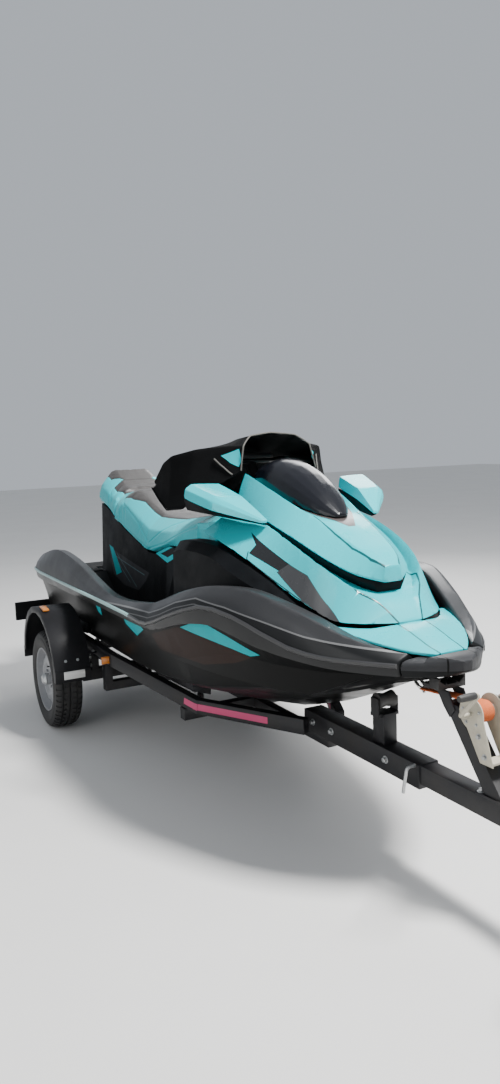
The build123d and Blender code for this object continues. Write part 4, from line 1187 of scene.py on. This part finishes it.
# Wheels. Sections as (along the axle, radius) in millimetres
TYRE_HALF = [(64.5, 176), (72.5, 190), (76.8, 204), (77.5, 222), (76.6, 232), (74.2, 236), (74.6, 243),
             (71.5, 252), (66.0, 259.5), (60.0, 264.0), (52.0, 267.4), (44.0, 269.4), (42.0, 269.6),
             (40.6, 263.0), (34.4, 263.0), (33.0, 270.0), (18.0, 270.0), (4.4, 270.0), (3.2, 263.0)]
VALVE_STEM = [(0, 0), (0, 5), (5, 4.4), (18, 4.2), (19, 3.4), (29, 3.4), (30, 4.6), (37, 4.6), (39, 0)]
GREASE_CAP = [(0, 31), (3, 33), (9, 33), (11, 30), (20, 26), (24, 20), (25, 0)]
TYRE_STEPS = 150
TREAD_PITCH = 3                 # steps from one cross groove to the next
# Where the cross grooves lie, in metres: (from, to) off the tyre's middle, and the least radius
SHOULDER = (0.045, 0.069, 0.255)
RIB = (0.018, 0.033, 0.268)


def tyre_form(name):
    """Port tyre: carcass turned from its section, with cross grooves in the shoulders and ribs."""
    section = [(-offset, radius) for offset, radius in TYRE_HALF] + TYRE_HALF[::-1]
    centre = trailer(*WHEEL)
    piece = turned(name, metres(section), centre, (0, 1, 0), TYRE_STEPS)

    def within(band, place):
        near, far, least = band
        radius = hypot(place.x - centre.x, place.z - centre.z)
        return near < abs(place.y - centre.y) < far and radius > least

    def cross_groove(place, normal):
        turn = (turn_angle(place, centre) / (2 * pi) * TYRE_STEPS) % TREAD_PITCH
        return (within(SHOULDER, place) and turn < 1) or (within(RIB, place) and 1 <= turn < 2)
    raised(piece, cross_groove, -craft_settings().tread_depth)
    smooth(piece, 32)
    return piece


class FINISH_OT_wheels(bpy.types.Operator):
    """Model the road tyres with tread and sidewall rings, and fit their valves and grease caps"""
    bl_idname = "watercraft.wheels"
    bl_label = "Wheels"

    def execute(self, context):
        x, y, z = WHEEL
        tyre = tyre_form("tyre_port_finished")
        twin = bpy.data.objects.new("tyre_starboard_finished", tyre.data.copy())
        twin.data.transform(Matrix.Translation((0, -2 * y * MM, 0)))
        context.scene.collection.objects.link(twin)
        stand_for(tyre, "tyre_port", "tyre")
        stand_for(twin, "tyre_starboard", "tyre")
        for side, label in reversed(SIDES):
            valve = turned(f"valve_{label}", metres(VALVE_STEM),
                           trailer(x + 88, side * (y + 36), z + 88), (0.15, side, 0.15), 16)
            fixed(valve, f"tyre_{label}", "rubber")
            cap = turned(f"grease_cap_{label}", metres(GREASE_CAP), trailer(x, side * (y + 57), z),
                         (0, side, 0), 32)
            fixed(cap, f"rim_{label}", "zinc")
        return {"FINISHED"}


def hex_bolt(radius):
    """Bolt head on a washer, looking along +Z, with a raised middle."""
    deselect()
    bpy.ops.mesh.primitive_cylinder_add(vertices=24, radius=radius * 1.5, depth=radius * 0.3)
    washer = bpy.context.object
    bpy.ops.mesh.primitive_cylinder_add(vertices=6, radius=radius, depth=radius * 1.1,
                                        location=(0, 0, radius * 0.6))
    head = bpy.context.object
    inset(head, lambda place, normal: normal.z > 0.9, radius * 0.14, radius * 0.10)
    activate(head)
    washer.select_set(True)
    bpy.ops.object.join()
    piece = bpy.context.object
    bpy.ops.object.transform_apply(location=True)
    rounded(piece, radius * 0.06, 1)
    smooth(piece)
    return piece


def on_both_sides(places, way):
    """Places and a direction on the trailer's port side, for both sides, as (place, direction)."""
    return [(trailer(x, side * y, z), (way[0], side * way[1], way[2]))
            for x, y, z in places for side in STARBOARD_PORT]


def bolt_rows():
    """Bolt heads: (name, node it shares body with, radius in mm, [(place, direction)])."""
    return [
        ("winch_post_bolts", "coupling", 9,
         [(trailer(x, y, 399), UP) for x in (3534, 3666) for y in (-24, 24)]),
        ("drawbar_bolts", "coupling", 10,
         on_both_sides([(x, 45, 352) for x in (2560, 2700, 3060)], OUTWARD)),
        ("axle_bolts", "coupling", 9,
         on_both_sides([(x, 550, z) for x in (1012, 1068) for z in (345, 395)], OUTWARD)),
        ("bunk_bolts", "coupling", 8,
         on_both_sides([(x, 302, z) for x in (380, 1290, 1960) for z in (318, 345)], OUTWARD)),
        ("winch_rivets", "coupling", 4,
         [(trailer(3512 + 38 * cos(a), -46, 655 + 38 * sin(a)), (0, -1, 0))
          for a in (radians(20 + 72 * k) for k in range(5))]),
        ("winch_plate_bolts", "coupling", 7,
         [(trailer(x, -46, z), (0, -1, 0)) for x, z in ((3546, 590), (3572, 530))]),
        ("flap_bolts", "coupling", 5,
         on_both_sides([(1261, y, 439) for y in (679, 744)], (0.96, 0, 0.28))),
        ("guard_bolts", "coupling", 7, on_both_sides([(x, 566, 446) for x in (670, 1170)], UP)),
        ("coupling_bolts", "coupling", 8, on_both_sides([(4290, 46, z) for z in (335, 375)], OUTWARD)),
        ("board_bolts", "coupling", 6, on_both_sides([(-152, y, 465) for y in (320, 430)], ASTERN)),
        ("pump_bolts", "deck_fittings", 7,
         [(craft(522, 106 * sin(a), 130 + 106 * cos(a)), ASTERN)
          for a in (radians(30 + 60 * k) for k in range(6))]),
        ("step_bolts", "deck_fittings", 5,
         [(craft(54, y + dy, 200 + dz), ASTERN) for y in (-186, 186) for dy in (-30, 30)
          for dz in (-19, 19)]),
        ("nozzle_bolts", "jet_nozzle", 6,
         [(craft(130, 0, 130 + side * 93), (0, 0, side)) for side in STARBOARD_PORT]),
    ]


class FINISH_OT_fasteners(bpy.types.Operator):
    """Fit the bolt heads and washers"""
    bl_idname = "watercraft.fasteners"
    bl_label = "Fasteners"

    def execute(self, context):
        for name, node, radius, spots in bolt_rows():
            master = hex_bolt(radius * MM)
            piece = repeated(master, name, [facing(place, way) for place, way in spots])
            fixed(piece, node, "zinc" if node == "coupling" else "stainless")
        return {"FINISHED"}


# Outlines on the craft, then the drain plug's section, in millimetres
MIRROR_RIM = [(2271, 313, 936), (2271, 455, 949), (2271, 464, 986), (2271, 309, 990)]
GAUGE_FACE = [(2183, -74, 991), (2183, 74, 991), (2203, 70, 1024), (2203, -70, 1024)]
GLOVEBOX_LID = [(1842, -60, 887), (1842, 60, 887), (1862, 78, 895), (1990, 88, 928), (2006, 70, 932),
                (2006, -70, 932), (1990, -88, 928), (1862, -78, 895)]
DRAIN_PLUG = [(0, 0), (0, 24), (4, 24), (6, 20), (14, 19), (17, 16), (17, 0)]
# The step's rubber sleeve, in metres: width of a rib and of the gap after it
SLEEVE_RADIUS, SLEEVE_RIB, RIB_HEIGHT = 0.0125, 0.00433, 0.0012


class FINISH_OT_craft_fittings(bpy.types.Operator):
    """Fit mirror glass, gauge glass, glovebox lid, drain plugs and the step's ribbed sleeve"""
    bl_idname = "watercraft.craft_fittings"
    bl_label = "Craft fittings"

    def execute(self, context):
        for side, label in reversed(SIDES):
            corners = [craft(x, side * y, z) for x, y, z in MIRROR_RIM]
            glass = plate(f"mirror_glass_{label}", corners, Vector((-0.003, 0, 0)))
            fixed(glass, "mirror_housings", "glass")
        gauge = plate("gauge_glass", all_at(craft, GAUGE_FACE), Vector((-0.0026, 0, 0.0016)))
        fixed(gauge, "visor", "screen")
        glovebox = plate("glovebox_lid", all_at(craft, GLOVEBOX_LID), Vector((-0.002, 0, 0.006)), 0.002)
        fixed(glovebox, "gauge", "moulding")
        plug = turned("drain_plug", metres(DRAIN_PLUG), (0, 0, 0), (0, 0, 1), 24)
        spots = [facing(craft(60, side * 300, 218), ASTERN) for side in STARBOARD_PORT]
        fixed(repeated(plug, "drain_plugs", spots), "gauge", "moulding")
        tube = [craft(32, -130 + 260 * k / 60, 340) for k in range(61)]
        sleeve = piped("step_sleeve", tube, SLEEVE_RADIUS)
        raised(sleeve, lambda place, normal: int((place.y + 2) / SLEEVE_RIB) % 2 == 0
               and abs(normal.y) < 0.5, RIB_HEIGHT)
        smooth(sleeve)
        fixed(sleeve, "boarding_step", "rubber")
        return {"FINISHED"}


TOOTH_HEIGHT = 0.004


def cog(name, centre, radius, teeth, thick):
    """Toothed wheel about the y axis, dished on both faces."""
    deselect()
    bpy.ops.mesh.primitive_cylinder_add(vertices=teeth * 2, radius=radius, depth=thick,
                                        rotation=(radians(90), 0, 0), location=centre)
    piece = named(name)
    bpy.ops.object.transform_apply(location=True, rotation=True)

    def tooth(place, normal):
        turn = turn_angle(place, centre) / (2 * pi) * teeth * 2
        return abs(normal.y) < 0.5 and int(round(turn)) % 2 == 0
    raised(piece, tooth, TOOTH_HEIGHT)
    inset(piece, lambda place, normal: abs(normal.y) > 0.9, radius * 0.35, -thick * 0.25)
    rounded(piece, 0.0006, 1)
    smooth(piece)
    return piece


class FINISH_OT_trailer(bpy.types.Operator):
    """Round and paint the trailer's frame and running gear"""
    bl_idname = "watercraft.trailer"
    bl_label = "Trailer"

    def execute(self, context):
        for node, finish, bevel in TRAILER_PIECES:
            dressed(node, finish, bevel)
        return {"FINISHED"}


# Section of the hand grips, then bent bars and outlines on the trailer, in millimetres
GRIP = [(0, 0), (0, 14), (4, 16), (30, 17.5), (70, 16), (84, 13), (88, 0)]
# Bent round bar: (name, points, radius, bend), the last two in metres
RODS = [
    ("strap_hook", [(3262, 0, 668), (3242, 0, 668), (3226, 0, 664), (3222, 0, 652), (3232, 0, 646)],
     0.005, 0.008),
    ("sleeve_clamp", [(3230, -45, 388), (3230, -80, 388), (3222, -86, 330), (3214, -86, 290)],
     0.0065, 0.014),
    ("jockey_clamp_bar", [(4030, -178, 355), (4110, -178, 355)], 0.006, 0.0),
]
COUPLING_LEVER = [(4296, -11, 402), (4380, -11, 420), (4432, -11, 412), (4440, -11, 420),
                  (4420, -11, 438), (4370, -11, 446), (4290, -11, 430)]
GUARD_MARKER = [(960, 756, 680), (1036, 756, 671), (1036, 790, 671), (960, 790, 680)]
BLANK_PLATE = [(-161, -130, 412), (-161, 130, 412), (-161, 130, 518), (-161, -130, 518)]


class FINISH_OT_trailer_fittings(bpy.types.Operator):
    """Fit the winch gear, handles, hook, coupling lever, markers and the blank plate"""
    bl_idname = "watercraft.trailer_fittings"
    bl_label = "Trailer fittings"

    def execute(self, context):
        fixed(cog("winch_gear", trailer(3512, 51, 655), 0.046, 26, 0.007), "coupling", "zinc")
        fixed(cog("winch_pinion", trailer(3552, 51, 698), 0.014, 10, 0.008), "coupling", "zinc")
        profile = metres(GRIP)
        slim = [(offset * 0.8, radius * 0.72) for offset, radius in profile]
        crank = turned("winch_grip", slim, trailer(3602, -112, 751), (0, -1, 0), 28)
        fixed(crank, "bow_chock", "rubber")
        knob = turned("jockey_grip", profile, trailer(4140, -118, 640), UP, 28)
        fixed(knob, "jockey_tube", "rubber")
        for name, points, radius, bend in RODS:
            fixed(piped(name, all_at(trailer, points), radius, bend), "coupling", "zinc")
        lever = plate("coupling_lever", all_at(trailer, COUPLING_LEVER), Vector((0, 0.022, 0)), 0.003)
        fixed(lever, "coupling", "zinc")
        for side, label in SIDES:
            corners = [trailer(x, side * y, z) for x, y, z in GUARD_MARKER]
            marker = plate(f"guard_marker_{label}", corners, Vector((0, 0, 0.012)), 0.004)
            fixed(marker, "lamps", "amber")
        blank = plate("blank_plate", all_at(trailer, BLANK_PLATE), Vector((0.002, 0, 0)), 0.0008)
        fixed(blank, "winch", "plate")
        return {"FINISHED"}


# Camera position, direction and focal length, solved from the photograph's own perspective
CAMERA_AT = (3.300, -1.853, 1.541)
CAMERA_YAW, CAMERA_PITCH, CAMERA_ROLL = 151.95, -6.86, 1.97
FOCAL_PIXELS = 823.6
PHOTO_HEIGHT = 1084
SENSOR_MM = 36.0
# Soft lights: (name, place, aimed at, size in metres, watts)
LIGHTS = [
    ("sun", (2.6, 1.6, 6.2), (0.2, 0, 0.6), 1.2, 1050),
    ("fill", (2.5, -6.0, 3.0), (0.0, 0, 0.6), 4.0, 110),
    ("rim", (-4.0, 3.5, 4.0), (0, 0, 0.8), 3.0, 200),
]
FLOOR_SIZE = 60.0
SKY, SKY_STRENGTH = (0.84, 0.90, 0.98, 1), 0.58


def aim():
    """Matrix of a camera at CAMERA_AT that looks along the yaw, pitch and roll."""
    yaw, pitch, roll = (radians(a) for a in (CAMERA_YAW, CAMERA_PITCH, CAMERA_ROLL))
    ahead = Vector((cos(yaw) * cos(pitch), sin(yaw) * cos(pitch), sin(pitch)))
    right = ahead.cross(Vector((0, 0, 1))).normalized()
    down = ahead.cross(right)
    across = right * cos(roll) + down * sin(roll)
    below = down * cos(roll) - right * sin(roll)
    turn = Matrix((across, -below, -ahead)).transposed()
    return Matrix.Translation(CAMERA_AT) @ turn.to_4x4()


class FINISH_OT_studio(bpy.types.Operator):
    """Set the pale floor, the soft lights and the camera"""
    bl_idname = "watercraft.studio"
    bl_label = "Studio"

    def execute(self, context):
        deselect()
        bpy.ops.mesh.primitive_plane_add(size=FLOOR_SIZE, location=(0, 0, 0))
        floor = context.object
        floor.name = "floor"
        screed = Finish("pale_floor", (0.72, 0.71, 0.69), 0.75)
        screed.colour(screed.mixed(screed.noise(1.2, 6), (0.68, 0.67, 0.65), (0.76, 0.75, 0.73)))
        floor.data.materials.append(screed.material)
        world = bpy.data.worlds.new("studio")
        world.use_nodes = True
        background = world.node_tree.nodes["Background"]
        background.inputs["Color"].default_value = SKY
        background.inputs["Strength"].default_value = SKY_STRENGTH
        context.scene.world = world
        for name, place, target, size, power in LIGHTS:
            light = bpy.data.lights.new(name, "AREA")
            light.size = size
            light.energy = power
            lamp = bpy.data.objects.new(name, light)
            lamp.location = place
            lamp.rotation_euler = (Vector(target) - Vector(place)).to_track_quat("-Z", "Y").to_euler()
            context.scene.collection.objects.link(lamp)
        view = bpy.data.cameras.new("photo_camera")
        view.sensor_width = SENSOR_MM
        view.lens = FOCAL_PIXELS / PHOTO_HEIGHT * SENSOR_MM
        camera = bpy.data.objects.new("photo_camera", view)
        camera.matrix_world = aim()
        context.scene.collection.objects.link(camera)
        context.scene.camera = camera
        return {"FINISHED"}


class FINISH_PT_panel(bpy.types.Panel):
    """Lists the settings and the finishing steps in the 3D view's sidebar."""
    bl_label = "Watercraft"
    bl_idname = "FINISH_PT_panel"
    bl_space_type = "VIEW_3D"
    bl_region_type = "UI"
    bl_category = "Watercraft"

    def draw(self, context):
        for name in CraftSettings.__annotations__:
            self.layout.prop(context.scene.watercraft, name)
        for step in STEPS:
            self.layout.operator(step.bl_idname)


STEPS = [
    FINISH_OT_finishes, FINISH_OT_studio, FINISH_OT_craft_mouldings, FINISH_OT_seats, FINISH_OT_cover,
    FINISH_OT_craft_fittings, FINISH_OT_trailer, FINISH_OT_wheels, FINISH_OT_trailer_fittings,
    FINISH_OT_fasteners,
]
CLASSES = [CraftSettings, *STEPS, FINISH_PT_panel]


def register():
    for cls in CLASSES:
        bpy.utils.register_class(cls)
    bpy.types.Scene.watercraft = bpy.props.PointerProperty(type=CraftSettings)


def unregister():
    del bpy.types.Scene.watercraft
    for cls in reversed(CLASSES):
        bpy.utils.unregister_class(cls)


def main():
    """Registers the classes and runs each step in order."""
    register()
    for step in STEPS:
        group, name = step.bl_idname.split(".")
        getattr(getattr(bpy.ops, group), name)()


if __name__ == "__main__":
    main()
